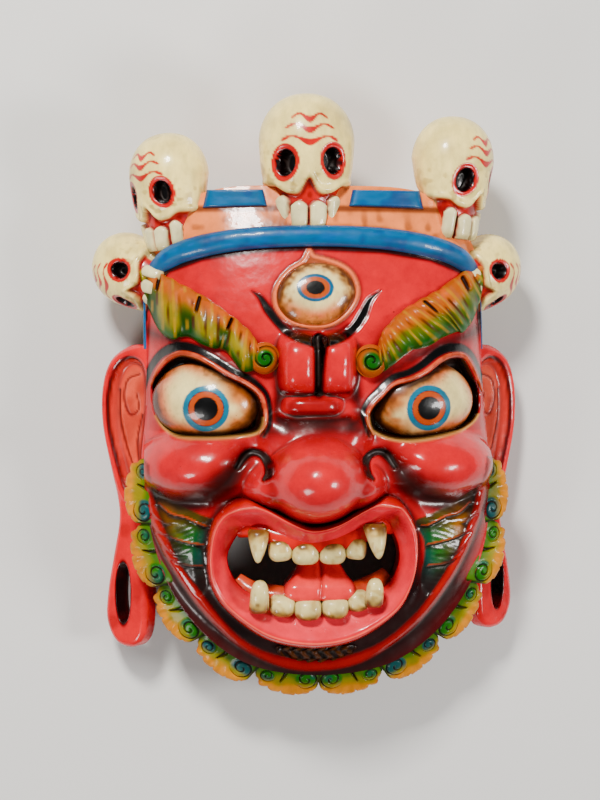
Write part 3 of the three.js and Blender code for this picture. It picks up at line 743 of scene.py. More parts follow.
# %% Cuts and lines
def carve_face(x, y):
    """Height of the front, with the distances that the paint uses again."""
    z = soft_skin(x, y)
    d = {}
    for side in SIDES:
        ring = smooth_line(EYE_OPENING[side], 6, closed=True)
        eye = d["eye", side] = ring_gap(ring, x, y, 30)
        lid, share = nearest(smooth_line(LID_LINE[side]), x, y, reach=24)
        held = soft(0.0, 0.12, share) * soft(1.0, 0.9, share)
        z += 3.6 * np.exp(-((np.clip(eye, 0, 40) - 1) / 5.5) ** 2) * held * (lid < 20)
        black = d["black", side] = stroke(LID_BLACK[side], BLACK_WIDTHS, x, y)
        z -= 0.4 * black
        z -= 17 * soft(0.6, -4.5, eye)
        line = mirrored(NOSTRIL_HOOK, side, HOOK_MIRROR)
        hook = d["hook", side] = stroke(line, NOSTRIL_WIDTHS, x, y, 1.6)
        z -= 3.4 * hook
        line = mirrored(CHEEK_VALLEY, side, BROW_MIRROR)
        valley = d["valley", side] = stroke(line, VALLEY_WIDTHS, x, y, 10.0)
        z -= 5.5 * valley
    stem = stroke(GROOVE_STEM, [4.6, 3.4, 2.9, 2.8], x, y, 0.9)
    arms = [stroke(arm, ARM_WIDTHS, x, y, 1.0) for arm in GROOVE_ARMS]
    d["groove"] = np.max([stem, *arms], 0)
    z -= 3.2 * stem + 1.1 * np.max(arms, 0)
    third = d["third"] = ring_gap(THIRD_RING, x, y)
    z += 2.4 * soft(0.5, -0.5, third) - 1.6 * soft(-0.8, -2.0, third)
    jaw = d["jaw"] = ring_gap(np.array(JAW_RING), x, y)
    z += 2.0 * soft(1.6, -2.8, jaw)
    lips = d["lips"] = ring_gap(LIP_RING, x, y, 24)
    z -= 3.5 * soft(9, 1, lips)
    z = np.where(lips < 0, np.minimum(z, 88 - 8 * soft(0, -5, lips)), z)
    return z, d


# %% Whisker shingles
def ordered(keys, values):
    """Both lists in rising order of the keys."""
    order = np.argsort(keys)
    return keys[order], values[order]


def carve_whiskers(x, y, z, d):
    """The stiff hair beside the mouth: overlapping tongues, each stepping down from the last."""
    for side in SIDES:
        zone = d["whisker", side] = ring_gap(WHISKER_RING[side], x, y)
        inside = soft(0.5, -2.0, zone)
        z -= 1.0 * inside
        for slit in WHISKER_SLITS[side]:
            line = smooth_line(slit)
            far, _ = nearest(line, x, y, reach=14)
            above = y - np.interp(x, *ordered(*line.T))
            # full just above the slit, cut away below it
            z += inside * 1.2 * np.exp(-((far / 7.5) ** 2)) * soft(-0.4, 0.4, above)
            z -= inside * 0.8 * np.exp(-((far / 2.2) ** 2)) * soft(0.4, -0.4, above)
        combs = np.sin((x * side * 0.35 + y) * 1.9 + 1.3 * np.sin(x * 0.21))
        z += 0.06 * inside * combs
    return z


def face_form(x, y):
    """The finished front, and the distances for its paint."""
    z, d = carve_face(x, y)
    return carve_whiskers(x, y, z, d), d


print("tip of the nose:",
      round(float(carve_face(np.array([NOSE["x"]]), np.array([NOSE["y"]]))[0][0]), 1), "mm")


# %% Blocks and prisms
def height_block(name, xs, ys, heights, bottom):
    """A closed block under a sheet of heights."""
    rows, columns = heights.shape
    gx, gy = np.meshgrid(xs, ys)
    top = np.column_stack([gx.ravel(), gy.ravel(), heights.ravel()])
    index = np.arange(rows * columns).reshape(rows, columns)
    rim = np.concatenate([index[0, :-1], index[:-1, -1], index[-1, :0:-1], index[:0:-1, 0]])
    foot = top[rim] * (1, 1, 0) + (0, 0, bottom)
    low = len(top) + np.arange(len(rim))
    walls = np.stack([rim, low, np.roll(low, -1), np.roll(rim, -1)], -1)
    faces = weave(rows, columns).tolist() + walls.tolist() + [low[::-1].tolist()]
    return piece(name, np.vstack([top, foot]), faces)


def winding(ring):
    """Twice the area inside a flat ring, negative where it runs clockwise."""
    x, y = ring.T
    return np.sum(x * np.roll(y, -1) - y * np.roll(x, -1))


def prism(name, ring, levels):
    """A closed column through a ring, with points at each level."""
    ring = np.asarray(ring, float)
    count = len(ring)
    points = np.vstack([np.column_stack([ring, np.full(count, level)]) for level in levels])
    faces = weave(len(levels), count, close_columns=True).tolist()
    caps = [list(range(count - 1, -1, -1)),
            list(range(count * (len(levels) - 1), count * len(levels)))]
    if winding(ring) < 0:
        faces, caps = [face[::-1] for face in faces], [cap[::-1] for cap in caps]
    return piece(name, points, faces + caps)


def inset(ring, distance):
    """The ring moved inward along its own normals."""
    ring = np.asarray(ring, float)
    way = np.roll(ring, -1, 0) - np.roll(ring, 1, 0)
    way /= np.linalg.norm(way, axis=1)[:, None]
    return ring + distance * np.sign(winding(ring)) * np.column_stack([-way[:, 1], way[:, 0]])


# %% Cut the face
GRAIN = 0.9  # spacing of the points on the carved front
BACK_GRAIN = 6.0  # spacing of the points in the plain hollow behind
FRONT_X, FRONT_Y = (-110, 121), (-176, 138)
BACK_X, BACK_Y = (-112, 122), (-180, 142)
UNDERSIDE = -6  # cutters and blanks start below the rim
RIM_WIDTH = 12
TRIM_LEVELS = list(range(0, 157, 6))
MOUTH_LEVELS = [-20, 60, 66, 72, 78, 84, 90, 100, 160]


def make_face():
    """A blank under the carved front, sawn round, hollowed behind and opened at the mouth."""
    xs, ys = np.arange(*FRONT_X, GRAIN), np.arange(*FRONT_Y, GRAIN)
    gx, gy = np.meshgrid(xs, ys)
    heights, _ = face_form(gx.ravel(), gy.ravel())
    face = height_block("carved_face", xs, ys, heights.reshape(gx.shape), UNDERSIDE)
    outline = both_sides(HEAD_HALF)
    cut(face, prism("trim", smooth_line(outline, 9, closed=True), TRIM_LEVELS), "INTERSECT")
    hx, hy = np.arange(*BACK_X, BACK_GRAIN), np.arange(*BACK_Y, BACK_GRAIN)
    hollow = height_block("hollow", hx, hy, dome(*np.meshgrid(hx, hy)) - WALL, UNDERSIDE)
    inner = inset(smooth_line(outline, 3, closed=True), RIM_WIDTH)
    cut(hollow, prism("inner_trim", inner, [-5, 140]), "INTERSECT")
    cut(face, hollow)
    cut(face, prism("mouth", MOUTH_RING, MOUTH_LEVELS))
    return face


face = make_face()
print("face:", len(face.data.vertices), "points,",
      sum(len(p.vertices) - 2 for p in face.data.polygons), "triangles")

# %% [markdown]
# ## Painting the face
#
# The painter lays the red first, then the crown's peach, the eye hollows in painted shade, the
# black lines of the lids and the forked groove, and last the painted shade: a dark tone brushed
# softly into every hollow, below the brows, beside the nose and along the jaw.


# %% Shades around the eyes and brows
# each row: points of the stroke, half widths, feather, colour and strength
BROW_SHADES = [  # drawn for the left, and mirrored
    ([(-103, 47), (-90, 41), (-76, 37), (-60, 30), (-47, 21), (-36, 15)],
     [5, 4.5, 4, 3.5, 3.5, 3], 6, BROWN, 0.9),
    ([(-95, 72), (-70, 58), (-45, 40), (-36, 28)], [6, 8, 9, 8], 4, DARK, 0.8),
    ([(-23.5, 36), (-22.5, 24), (-21.5, 10), (-20.5, 4)], [1.4, 1.8, 2.4, 2.6], 3.4, DARK, 0.9),
    ([(-21, 9), (-22.5, 0), (-22, -8), (-17, -11)], [1.6, 2.4, 3, 3], 4, BROWN, 0.95)]
BRIDGE_SHADES = [
    ([(-20, 8.2), (-2, 7.6), (2, 7.4), (21, 8.2)], [1.2, 1.2, 1.2, 1.2], 1.6, DARK, 1.0),
    ([(-21, -7.4), (-10, -8.6), (8, -8.6), (21, -7.4)], [2.0, 2.4, 2.4, 2.0], 2.4, DARK, 0.92),
    ([(-32, -16), (-16, -13.5), (2, -12), (20, -13.5), (36, -16)],
     [2, 4.5, 6.5, 4.5, 2], 9, pigment(50, 20, 18), 0.95)]
THIRD_SHADE = ([(-16, 49), (-6, 43), (3, 41), (12, 43), (21, 49)], [1, 2, 2.6, 2, 1], 2.4, BROWN,
               1.0)


def shade(paint, x, y, points, widths, feather, colour, strength):
    """One brush stroke of a shading colour, with a soft edge as wide as feather."""
    coat(paint, strength * stroke(points, widths, x, y, feather), colour)


def paint_brow_country(paint, x, y):
    """The dark tones round the brows, the bulges between them and the fold over the nose."""
    for side in SIDES:
        for points, *brush in BROW_SHADES:
            shade(paint, x, y, mirrored(points, side, BROW_MIRROR), *brush)
    for row in BRIDGE_SHADES:
        shade(paint, x, y, *row)
    coat(paint, 0.6 * soft(1.0, 0.7, oval(x, y, -0.5, -0.5, 19, 7.6)), DEEP_RED)


def paint_eyes(paint, y, d):
    """Painted shade in and round the sockets, a pale lower edge and the thick black line round
    each lid.
    """
    for side in SIDES:
        eye = d["eye", side]
        # painted shade: darker red on the lid round the top of each opening, and a dark socket,
        # darkest deep inside
        near = soft(-0.4, 0.8, eye) * soft(14, 2, eye) * (y > -16)
        coat(paint, 0.35 * near, DEEP_RED)
        coat(paint, soft(0.6, -0.4, eye), pigment(60, 40, 38))
        coat(paint, 0.85 * soft(-2.5, -7, eye), pigment(40, 26, 26))
        coat(paint, 0.8 * np.exp(-((eye - 0.2) / 0.8) ** 2) * (y < -6), pigment(214, 176, 122))
        coat(paint, d["black", side], BLACK)


# %% Shades of the cheeks, mouth and jaw
def paint_lower_face(paint, x, y, d):
    """Painted shade on the nose and in the valleys beside it, the whiskers, and painted shade
    round lips and jaw.
    """
    ball = oval(x, y, NOSE["x"], NOSE["y"], 27, 23)
    # painted shade: a deep red band down both flanks of the nose
    coat(paint, 0.55 * np.exp(-((ball - 1.06) / 0.14) ** 2) * soft(10, 24, np.abs(x - NOSE["x"])),
         DEEP_RED)
    for side in SIDES:
        # painted shade: the valley between cheek and nose and the hook of the nostril, darkened to
        # near black
        valley = stroke(mirrored(CHEEK_VALLEY, side, BROW_MIRROR), VALLEY_WIDTHS, x, y, 13.0)
        coat(paint, 0.85 * soft(0.0, 0.7, valley), pigment(96, 14, 24))
        coat(paint, 0.95 * soft(0.35, 1.0, valley), DARK)
        coat(paint, 0.97 * soft(0.1, 0.7, d["hook", side]), DARK)
        zone = d["whisker", side]
        inside = soft(0.6, -0.6, zone)
        outward = (SIDE_MIRROR / 2 - x if side < 0 else x - SIDE_MIRROR / 2)
        hair = prime(len(x), TEAL)
        run = outward + 0.3 * (y + 85)
        coat(hair, soft(66, 78, run), pigment(60, 116, 44))
        coat(hair, soft(78, 88, run), pigment(132, 128, 24))
        coat(hair, soft(87, 94, run), pigment(186, 132, 24))
        coat(hair, 0.6 * soft(0.55, 0.8, mottle(np.column_stack([x, y * 2.2, 0 * x]), 5, 3)),
             pigment(52, 60, 26))
        coat(hair, 0.8 * soft(-80, -68, y) * soft(96, 84, outward), pigment(104, 76, 24))
        # painted shade under the cheek: the top of the hair darkened
        coat(hair, 0.85 * soft(-68, -58, y), pigment(40, 24, 16))
        for slit in WHISKER_SLITS[side]:
            line = smooth_line(slit)
            below = np.interp(x, *ordered(*line.T)) - y
            far, _ = nearest(line, x, y)
            # painted shade below each slit, where the tongue of hair above it overhangs
            coat(hair, 0.6 * soft(5, 0.5, far) * soft(-0.2, 0.4, below), pigment(24, 30, 20))
            coat(hair, 0.9 * soft(1.2, 0.5, far) * soft(-0.2, 0.3, below), BLACK)
            # painted highlight: a pale pink line along the raised edge above the slit
            coat(hair, 0.8 * soft(0.8, 0.3, np.abs(far - 0.8)) * soft(0.2, -0.4, below),
                 pigment(206, 104, 74))
        coat(paint, inside, hair)
    lips, jaw = d["lips"], d["jaw"]
    # painted shade round the lips, darkest below the lower lip, along the inside of the jaw's
    # strip and over the chin
    below = soft(-92, -112, y)
    coat(paint, 0.75 * soft(16, 3, lips) * below, pigment(84, 16, 26))
    coat(paint, 0.9 * soft(9, 0.5, jaw) * (lips > 0) * soft(-38, -60, y), pigment(52, 16, 18))
    coat(paint, 0.92 * soft(0.2, 1.5, jaw) * (lips > -1) * soft(-98, -116, y), pigment(58, 16, 20))
    coat(paint, 0.9 * soft(4.5, 0.5, lips), pigment(66, 16, 20))
    coat(paint, soft(0.6, -0.4, jaw), pigment(176, 14, 50))
    # painted shade along the strip's inner edge
    coat(paint, 0.7 * soft(-2.5, 0.2, jaw) * (jaw < 0.5), DEEP_RED)


# %% Crown and forehead paint
def roll_middle(x):
    """The height up the mask at which the blue roll runs, above any x."""
    half = np.abs(x - midline(95.0))
    table = np.array(ROLL_HALF)
    return np.interp(half, table[:6, 0], table[:6, 1])


def paint_forehead(paint, x, y, d):
    """Peach crown over the blue roll, the pad of the third eye and the forked groove."""
    over_roll = y - roll_middle(x)
    mottled = mottle(np.column_stack([x, y, 0 * x]), 4.5, 5)
    peach = prime(len(x), PEACH)
    coat(peach, 0.8 * soft(0.45, 0.8, mottled) * soft(26, 4, over_roll), pigment(140, 84, 46))
    coat(peach, 0.8 * soft(8.5, 5.5, over_roll), STAIN)
    coat(peach, 0.85 * soft(3.0, 1.0, np.abs(y - 120)), pigment(110, 60, 40))
    crown = soft(-0.5, 1.0, over_roll)
    coat(paint, crown, peach)
    # painted shadow: a dark line just below the blue roll
    coat(paint, 0.96 * soft(-10.5, -8.2, over_roll) * (1 - crown), pigment(40, 12, 16))
    third = d["third"]
    pad_paint = prime(len(x), pigment(236, 146, 112))
    coat(pad_paint, 0.8 * soft(-1.0, -2.4, third), pigment(150, 90, 56))
    inside = soft(1.5, 0.6, third)
    coat(paint, inside, pad_paint)
    coat(paint, 0.6 * np.exp(-((third - 1.8) / 0.9) ** 2), DEEP_RED)
    shade(paint, x, y, *THIRD_SHADE)
    coat(paint, d["groove"], DARK)


def paint_face():
    """All the coats on the carved face, and bare wood inside it."""
    p = mesh_points(face.data)
    x, y, z = p.T
    form, d = face_form(x, y)
    paint = prime(len(p), RED)
    coat(paint, 0.35 * soft(0.5, 0.9, mottle(p, 22, 1)), pigment(190, 24, 40))
    paint_forehead(paint, x, y, d)
    paint_brow_country(paint, x, y)
    paint_eyes(paint, y, d)
    paint_lower_face(paint, x, y, d)
    # painted shade and varnish in the valleys, over the nose and above the strip of the jaw
    valleys = 0.5 * np.maximum(d["valley", -1], d["valley", 1])
    over_nose = 0.42 * stroke(
        [(-30, -15), (-16, -13), (2, -11.5), (20, -13), (34, -15)], [2, 4, 5.5, 4, 2], x, y, 6)
    over_jaw = 0.4 * soft(14, 6, d["jaw"]) * (d["lips"] > 0) * soft(-70, -100, y) * (d["jaw"] > 0)
    held = np.max([valleys, over_nose, over_jaw], 0)
    edge = ring_gap(HEAD_RING, x, y)
    # darker towards the rim, low on the side walls
    coat(paint, 0.9 * soft(30, 12, z), pigment(70, 30, 22))
    mouth = np.abs(ring_gap(MOUTH_RING, x, y))
    inner = (z < form - 3) & (edge < -0.8)
    coat(paint, inner.astype(float), pigment(104, 70, 44))
    coat(paint, inner * soft(1.2, 0.4, mouth), pigment(120, 30, 34))
    write_paint(face.data, paint, rounds=10, scale=1.1, extra_grime_and_shade=held)
    print("painted", len(p), "points of the face")


paint_face()
give_finish(face.data, FACE_PAINT)
face.data.shade_smooth()
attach(face, "root")
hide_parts("mask")

# %% [markdown]
# ## Pads and rods
#
# Most of what stands on the face is either a pad, one height over a closed outline, or a rod,
# a round section drawn along a line. A pad's points run out from its middle in rings, so paint
# and edges follow its outline cleanly. Both close into a skin with no stray faces.


# %% Pads
WALL_STEPS = 4  # rows of points from a pad's edge down to its base


def pad(name, centre, ring, height, base, finish, painter, rings=30, rounds=8, scale=0.9):
    """A form with one height above its outline; height takes x, y and the share to the edge."""
    ring = np.asarray(ring, float)
    if winding(ring) < 0:
        ring = ring[::-1]
    spokes = len(ring)
    shares = (np.arange(1, rings + 1) / rings) ** 0.9
    flat = (np.array(centre)[None, None]
            + (ring - centre)[None] * shares[:, None, None]).reshape(-1, 2)
    share = np.repeat(shares, spokes)
    top = np.column_stack([flat, height(flat[:, 0], flat[:, 1], share)])
    peak = height(*(np.array([value], float) for value in (*centre, 0)))
    middle = np.array([[*centre, float(peak[0])]])
    edge = top[-spokes:]
    walls = [np.column_stack([edge[:, :2], edge[:, 2] + (base - edge[:, 2]) * k / WALL_STEPS])
             for k in range(1, WALL_STEPS + 1)]
    points = np.vstack([top, *walls, middle])
    rows = rings + WALL_STEPS
    faces = weave(rows, spokes, close_columns=True)[:, ::-1].tolist()
    last = len(points) - 1
    faces += [[last, i, (i + 1) % spokes] for i in range(spokes)]
    faces.append([(rows - 1) * spokes + i for i in range(spokes)][::-1])
    made = piece(name, points, faces, finish)
    to_edge = np.concatenate([share, np.ones(spokes * WALL_STEPS), [0.0]])
    write_paint(made.data, painter(points, to_edge), rounds, scale)
    return made


def radial(ring, centre, angles):
    """Where a ring that surrounds centre is met at each angle."""
    ring = np.asarray(ring, float)
    way = np.unwrap(np.arctan2(ring[:, 1] - centre[1], ring[:, 0] - centre[0]))
    far = np.hypot(ring[:, 0] - centre[0], ring[:, 1] - centre[1])
    order = np.argsort(np.mod(way, 2 * np.pi))
    r = np.interp(angles, np.mod(way, 2 * np.pi)[order], far[order], period=2 * np.pi)
    return np.column_stack([centre[0] + r * np.cos(angles), centre[1] + r * np.sin(angles)])


# %% Rods
def rod(name, line, radii, finish, painter, sides=20, steps=10, flat=1.0):
    """A round section drawn along a line; flat squeezes it toward the wood."""
    path = smooth_line(line, steps)
    count = len(path)
    share = np.linspace(0, 1, count)
    radius = np.interp(share, np.linspace(0, 1, len(radii)), radii)[:, None]
    way = np.gradient(path, axis=0)
    way /= np.linalg.norm(way, axis=1)[:, None]
    across = np.cross(way, (0, 0, 1.0))
    across /= np.linalg.norm(across, axis=1)[:, None]
    out = np.cross(across, way)
    angle = circle(sides)
    points = (path[:, None, :]
              + across[:, None, :] * (radius * np.cos(angle))[:, :, None]
              + out[:, None, :] * (radius * flat * np.sin(angle))[:, :, None]).reshape(-1, 3)
    faces = weave(count, sides, close_columns=True).tolist() + end_caps(count, sides)
    made = piece(name, points, faces, finish)
    tidy_normals(made.data)
    write_paint(made.data, painter(points, np.repeat(share, sides)), rounds=6, scale=0.8)
    return made


def over_face(line, lift):
    """Lifts a flat line onto the soft skin of the face."""
    line = np.asarray(line, float)[:, :2]
    return np.column_stack([line, soft_skin(line[:, 0], line[:, 1]) + lift])


# %% [markdown]
# ## Eyes
#
# Each eye is a bulging ball, flatter toward the temple, painted ivory with rust and brown
# rubbed in toward its edge, and a dark painted shade where it meets the lid. The iris is three
# plain rings: blue, orange and black. The points of the ball run in circles round the pupil,
# so the rings come out as crisp as a brush leaves them.

# %% Eyeballs
EYEBALL = dict(mid=2.5, apart=66.2, y=2.5, width=33.4, height=25.0, base=79.0, rise=24.5)
IRIS = {-1: (-64.9, -1.6), 1: (70.8, -1.6)}
IRIS_RINGS = [(14.0, pigment(0, 136, 158)), (10.8, pigment(60, 38, 28)),
              (10.4, pigment(190, 104, 20)), (7.2, BLACK)]


def eye_ring_paint(paint, reach, rings):
    """Rings of colour round the pupil, from the widest to the smallest."""
    for radius, colour in rings:
        coat(paint, soft(radius + 0.25, radius - 0.25, reach), colour)


def ball_ring(cx, cy, rx, ry, count):
    t = circle(count)
    return np.column_stack([cx + rx * np.cos(t), cy + ry * np.sin(t)])


def make_eyeball(side):
    cx, cy = EYEBALL["mid"] + side * EYEBALL["apart"], EYEBALL["y"]
    rx, ry = EYEBALL["width"], EYEBALL["height"]
    pupil = IRIS[side]
    rim = radial(ball_ring(cx, cy, rx, ry, 400), pupil, circle(180))

    def height(x, y, share):
        across, up = ((x - cx) / (rx + 0.1)) ** 2, ((y - cy) / (ry + 0.1)) ** 2
        swell = np.sqrt(np.clip(1 - across - up, 0, 1))
        return EYEBALL["base"] + EYEBALL["rise"] * swell - side * (x - cx) * 0.2

    def painter(points, share):
        x, y, _ = points.T
        paint = prime(len(points), EYE_WHITE)
        gap = ring_gap(smooth_line(EYE_OPENING[side], 6, closed=True), x, y, 40)
        inward = -side * (x - cx)
        rust = mottle(points, 3.2, 7 + side)
        coat(paint, 0.5 * soft(-17, -6, gap), pigment(232, 190, 140))
        coat(paint, 0.85 * soft(-12, -4, gap) * soft(12, -14, inward), pigment(222, 112, 84))
        coat(paint, 0.85 * soft(-15, -6, gap + 6 * rust) * soft(4, 18, inward),
             pigment(206, 128, 52))
        coat(paint, 0.8 * soft(-8, -2.5, gap + 5 * rust) * soft(4, 20, inward),
             pigment(120, 70, 26))
        coat(paint, 0.6 * soft(-7, -2.5, gap + 3 * rust), pigment(164, 104, 56))
        # painted shade: a dark band where the ball meets the edge of the opening, broken by the
        # rust
        coat(paint, 0.9 * soft(-4.5, -1.2, gap + 2 * rust), pigment(60, 32, 24))
        coat(paint, 0.35 * soft(0.62, 0.85, mottle(points, 1.8, 11)) * soft(-16, -6, gap), STAIN)
        eye_ring_paint(paint, np.hypot(x - pupil[0], y - pupil[1]), IRIS_RINGS)
        return paint

    return pad(f"eyeball_{SIDE_NAME[side]}", pupil, rim, height, 68, IVORY_PAINT, painter,
               rings=56, scale=2.5)


eyeballs = [make_eyeball(side) for side in SIDES]
tell("eyeballs", eyeballs)


# %% Third eye
THIRD_MIDDLE, THIRD_PUPIL = 1.5, (0.6, 71.3)
THIRD_RINGS = [(11.2, pigment(20, 120, 150)), (8.7, pigment(196, 112, 50)),
               (5.6, pigment(24, 20, 22))]


def make_third_eyeball():
    pupil = THIRD_PUPIL
    rim = radial(inset(THIRD_BALL, -0.5), pupil, circle(150))

    def height(x, y, share):
        swell = np.sqrt(np.clip(1 - 0.93 * share**2.4, 0, 1))
        return dome(x, y) - 1.0 + 11.5 * swell

    def painter(points, share):
        x, y, _ = points.T
        paint = prime(len(points), EYE_WHITE)
        rust = mottle(points, 2.6, 21)
        low = soft(70, 56, y)
        aside = soft(7, 17, np.abs(x - THIRD_MIDDLE))
        coat(paint, 0.9 * soft(0.36, 0.8, share) * low, pigment(224, 96, 76))
        coat(paint, 0.75 * soft(0.55, 0.85, share + 0.2 * (rust - 0.5)), pigment(206, 150, 92))
        coat(paint, 0.85 * soft(0.62, 0.9, share + 0.36 * (rust - 0.5))
             * np.maximum(aside, 0.35 * (1 - low)), pigment(128, 84, 34))
        coat(paint, 0.8 * soft(0.8, 1.0, share + 0.3 * (rust - 0.5)) * (1 - 0.6 * low),
             pigment(92, 52, 26))
        coat(paint, 0.5 * soft(0.6, 0.8, mottle(points, 1.5, 5)) * soft(0.6, 0.9, share), STAIN)
        eye_ring_paint(paint, np.hypot(x - pupil[0], (y - pupil[1]) / 0.75), THIRD_RINGS)
        return paint

    return pad("third_eyeball", pupil, rim, height, 92, IVORY_PAINT, painter, rings=44, scale=2.0)


tell("third eye", [make_third_eyeball()])


# %% Eyelids
LID_RADII = [0.7, 1.1, 1.2, 1.2, 1.3, 1.4, 1.5, 1.5, 1.3, 0.8]


def make_lid(side):
    line = over_face(LID_LINE[side], 3.2)

    def painter(points, share):
        paint = prime(len(points), pigment(214, 118, 92))
        coat(paint, 0.8 * soft(0.3, 0.7, mottle(points, 3, 2)), pigment(168, 84, 62))
        coat(paint, 0.6 * soft(0.2, 0.0, share), pigment(220, 160, 110))
        return paint

    return rod(f"eyelid_{SIDE_NAME[side]}", line, LID_RADII, FACE_PAINT, painter, sides=14)


tell("eyelids", [make_lid(side) for side in SIDES])

# %% [markdown]
# ## The mouth
#
# The lips are one broad ring: a narrow outer slope, a sharp crest that catches the light, and
# a wide inner slope that leads down to the teeth. It is built between two rings, the outer
# edge and the opening, so the crest follows both. The teeth are single pegs, each a little
# different, and the tongue is a pad with a groove down its middle.

# %% Lips
MOUTH_MIDDLE = (1.0, -99.0)
LIP_CREST = [(0, -79, 114), (24, -73, 114), (44, -62, 109), (56, -68, 104), (65, -92, 99),
             (56, -119, 94), (34, -141, 93), (0, -150, 95)]


def around_mouth(table, angles):
    """A value given at points of the right half of the mouth, read at any angle round it."""
    rows = np.array([(math.atan2(y - MOUTH_MIDDLE[1], x), v) for x, y, v in table])
    rows = np.vstack([rows, np.column_stack([np.pi - rows[:, 0], rows[:, 1]])])
    way = np.mod(rows[:, 0], 2 * np.pi)
    order = np.argsort(way)
    return np.interp(np.mod(angles, 2 * np.pi), way[order], rows[order, 1], period=2 * np.pi)


def make_lips():
    angles = circle(480)
    outer = radial(LIP_RING, MOUTH_MIDDLE, angles)
    inner = radial(MOUTH_RING, MOUTH_MIDDLE, angles)
    crest = around_mouth(LIP_CREST, angles)
    kernel = np.hanning(31) / np.hanning(31).sum()
    crest = np.convolve(np.concatenate([crest[-15:], crest, crest[:15]]), kernel, "valid")
    drop = np.interp(np.sin(angles), [-1, 0, 1], [11, 13, 13])
    across = np.concatenate([np.linspace(-0.03, 0.14, 7), np.linspace(0.17, 1.0, 26),
                             [1.015, 1.02, 1.02, 1.02]])
    rows = []
    for k, u in enumerate(across):
        flat = outer * (1 - u) + inner * u
        if u <= 0.16:
            z = crest - 9 * (1 - np.clip(u / 0.16, -1, 1)) ** 1.6
        elif u <= 1.0:
            t = (u - 0.16) / 0.84
            groove = 0.6 * np.exp(-((t - 0.04) / 0.03) ** 2)
            z = crest - groove - drop * t**1.25 - 1.6 * np.sin(np.pi * t) ** 2
        else:
            z = np.minimum(crest - drop - 1, 84) - (k - len(across) + 4) * 5.5
        if k == 0:
            z = crest - 22
        rows.append(np.column_stack([flat, z]))
    points = np.stack(rows, 1).reshape(-1, 3)
    u = np.tile(across, len(angles))
    faces = weave(len(angles), len(across), close_rows=True).tolist()
    back = np.arange(len(angles)) * len(across)
    faces += [[int(a), int(b), int(b + len(across) - 1), int(a + len(across) - 1)] for a,
              b in zip(back, np.roll(back, -1))]
    paint = prime(len(points), pigment(218, 44, 82))
    coat(paint, 0.7 * soft(0.16, 0.5, u), pigment(226, 76, 92))
    coat(paint, 0.5 * soft(0.6, 0.95, u), pigment(200, 50, 70))
    # painted highlight: lighter pink on the inner slope, strongest on the lower lip
    low = soft(-96, -118, points[:, 1])
    coat(paint, 0.6 * soft(0.2, 0.3, u) * soft(0.95, 0.6, u) * (0.3 + 0.7 * low),
         pigment(240, 104, 116))
    coat(paint, soft(0.15, 0.10, u), pigment(196, 34, 46))
    # painted shade at the foot of the outer slope
    coat(paint, 0.75 * soft(0.06, 0.0, u), pigment(120, 18, 28))
    # painted highlight along the crest
    coat(paint, 0.65 * soft(0.03, 0.008, np.abs(u - 0.165)), pigment(244, 150, 128))
    # painted shade where the inner slope turns down into the mouth
    coat(paint, 0.8 * soft(0.97, 1.01, u), pigment(96, 20, 26))
    coat(paint, 0.3 * soft(0.5, 0.9, mottle(points, 9, 4)), pigment(196, 44, 50))
    lips = piece("lips", points, faces, FACE_PAINT)
    tidy_normals(lips.data)
    write_paint(lips.data, paint, rounds=8, scale=1.4)
    return lips


tell("lips", [make_lips()])


# %% Teeth
POLE_GAP = 1e-6  # metres within which the points at a tooth's two poles are one


def power(value, exponent):
    """A power that keeps the sign, which squares up a circle."""
    return np.sign(value) * np.abs(value) ** exponent


def make_tooth(at, size, up, tilt, seed):
    """A rounded chisel: full at the gum, thinner and straighter at the biting edge."""
    rows, around = 26, 36
    v = np.linspace(-np.pi / 2, np.pi / 2, rows)[:, None]
    a = circle(around)[None, :]
    girth = power(np.cos(v), 0.55)
    h = power(np.sin(v), 0.75) * np.ones_like(a)
    bite = -h if not up else h
    x = girth * power(np.cos(a), 0.75) * (1 + 0.06 * bite)
    z = girth * power(np.sin(a), 0.8) * (1 - 0.22 * np.clip(bite, 0, 1) ** 2)
    w, l, t = size
    points = np.stack([x * w / 2, h * l / 2, z * t / 2], -1).reshape(-1, 3)
    points += 0.5 * (mottle(points, 5, seed)[:, None] - 0.5) * (1, 0.6, 1)
    c, s = math.cos(math.radians(tilt)), math.sin(math.radians(tilt))
    points[:, :2] = points[:, :2] @ np.array([[c, s], [-s, c]])
    points += at
    return points, weave(rows, around, close_columns=True), (bite.ravel() * 0.5 + 0.5)


def tooth_paint(points, bite, seed):
    paint = prime(len(points), pigment(228, 216, 168))
    gum = 1 - bite
    coat(paint, 0.7 * soft(0.45, 0.9, gum), pigment(200, 164, 84))
    coat(paint, 0.9 * soft(0.62, 0.92, gum + 0.4 * (mottle(points, 3, seed) - 0.5)),
         pigment(112, 72, 24))
    coat(paint, 0.5 * soft(0.62, 0.8, mottle(points, 2.2, seed + 9)), pigment(190, 160, 96))
    return paint


def make_fang(at, tip, radius, flatten=0.85, bend=1.5, blunt=0.0):
    """A curved peg from its root to its tip."""
    rows, around = 30, 30
    t = np.linspace(0, 1, rows)[:, None]
    root, end = np.array(at, float), np.array(tip, float)
    taper = radius * np.clip(1 - t ** (2.2 + 5 * blunt), 0, 1) ** 0.5
    girth = taper * (1 - (0.35 - 0.25 * blunt) * t) * np.minimum(1, 0.8 + 2 * t)
    a = circle(around)[None, :]
    axis = root[None] * (1 - t) + end[None] * t
    axis[:, 2] += bend * np.sin(np.pi * t[:, 0])
    x = axis[:, 0:1] + girth * power(np.cos(a), 0.85) * flatten
    z = axis[:, 2:3] + girth * power(np.sin(a), 0.85)
    y = axis[:, 1:2] + 0 * x
    points = np.stack([x, y, z], -1).reshape(-1, 3)
    return points, weave(rows, around, close_columns=True), np.repeat(t[:, 0], around)


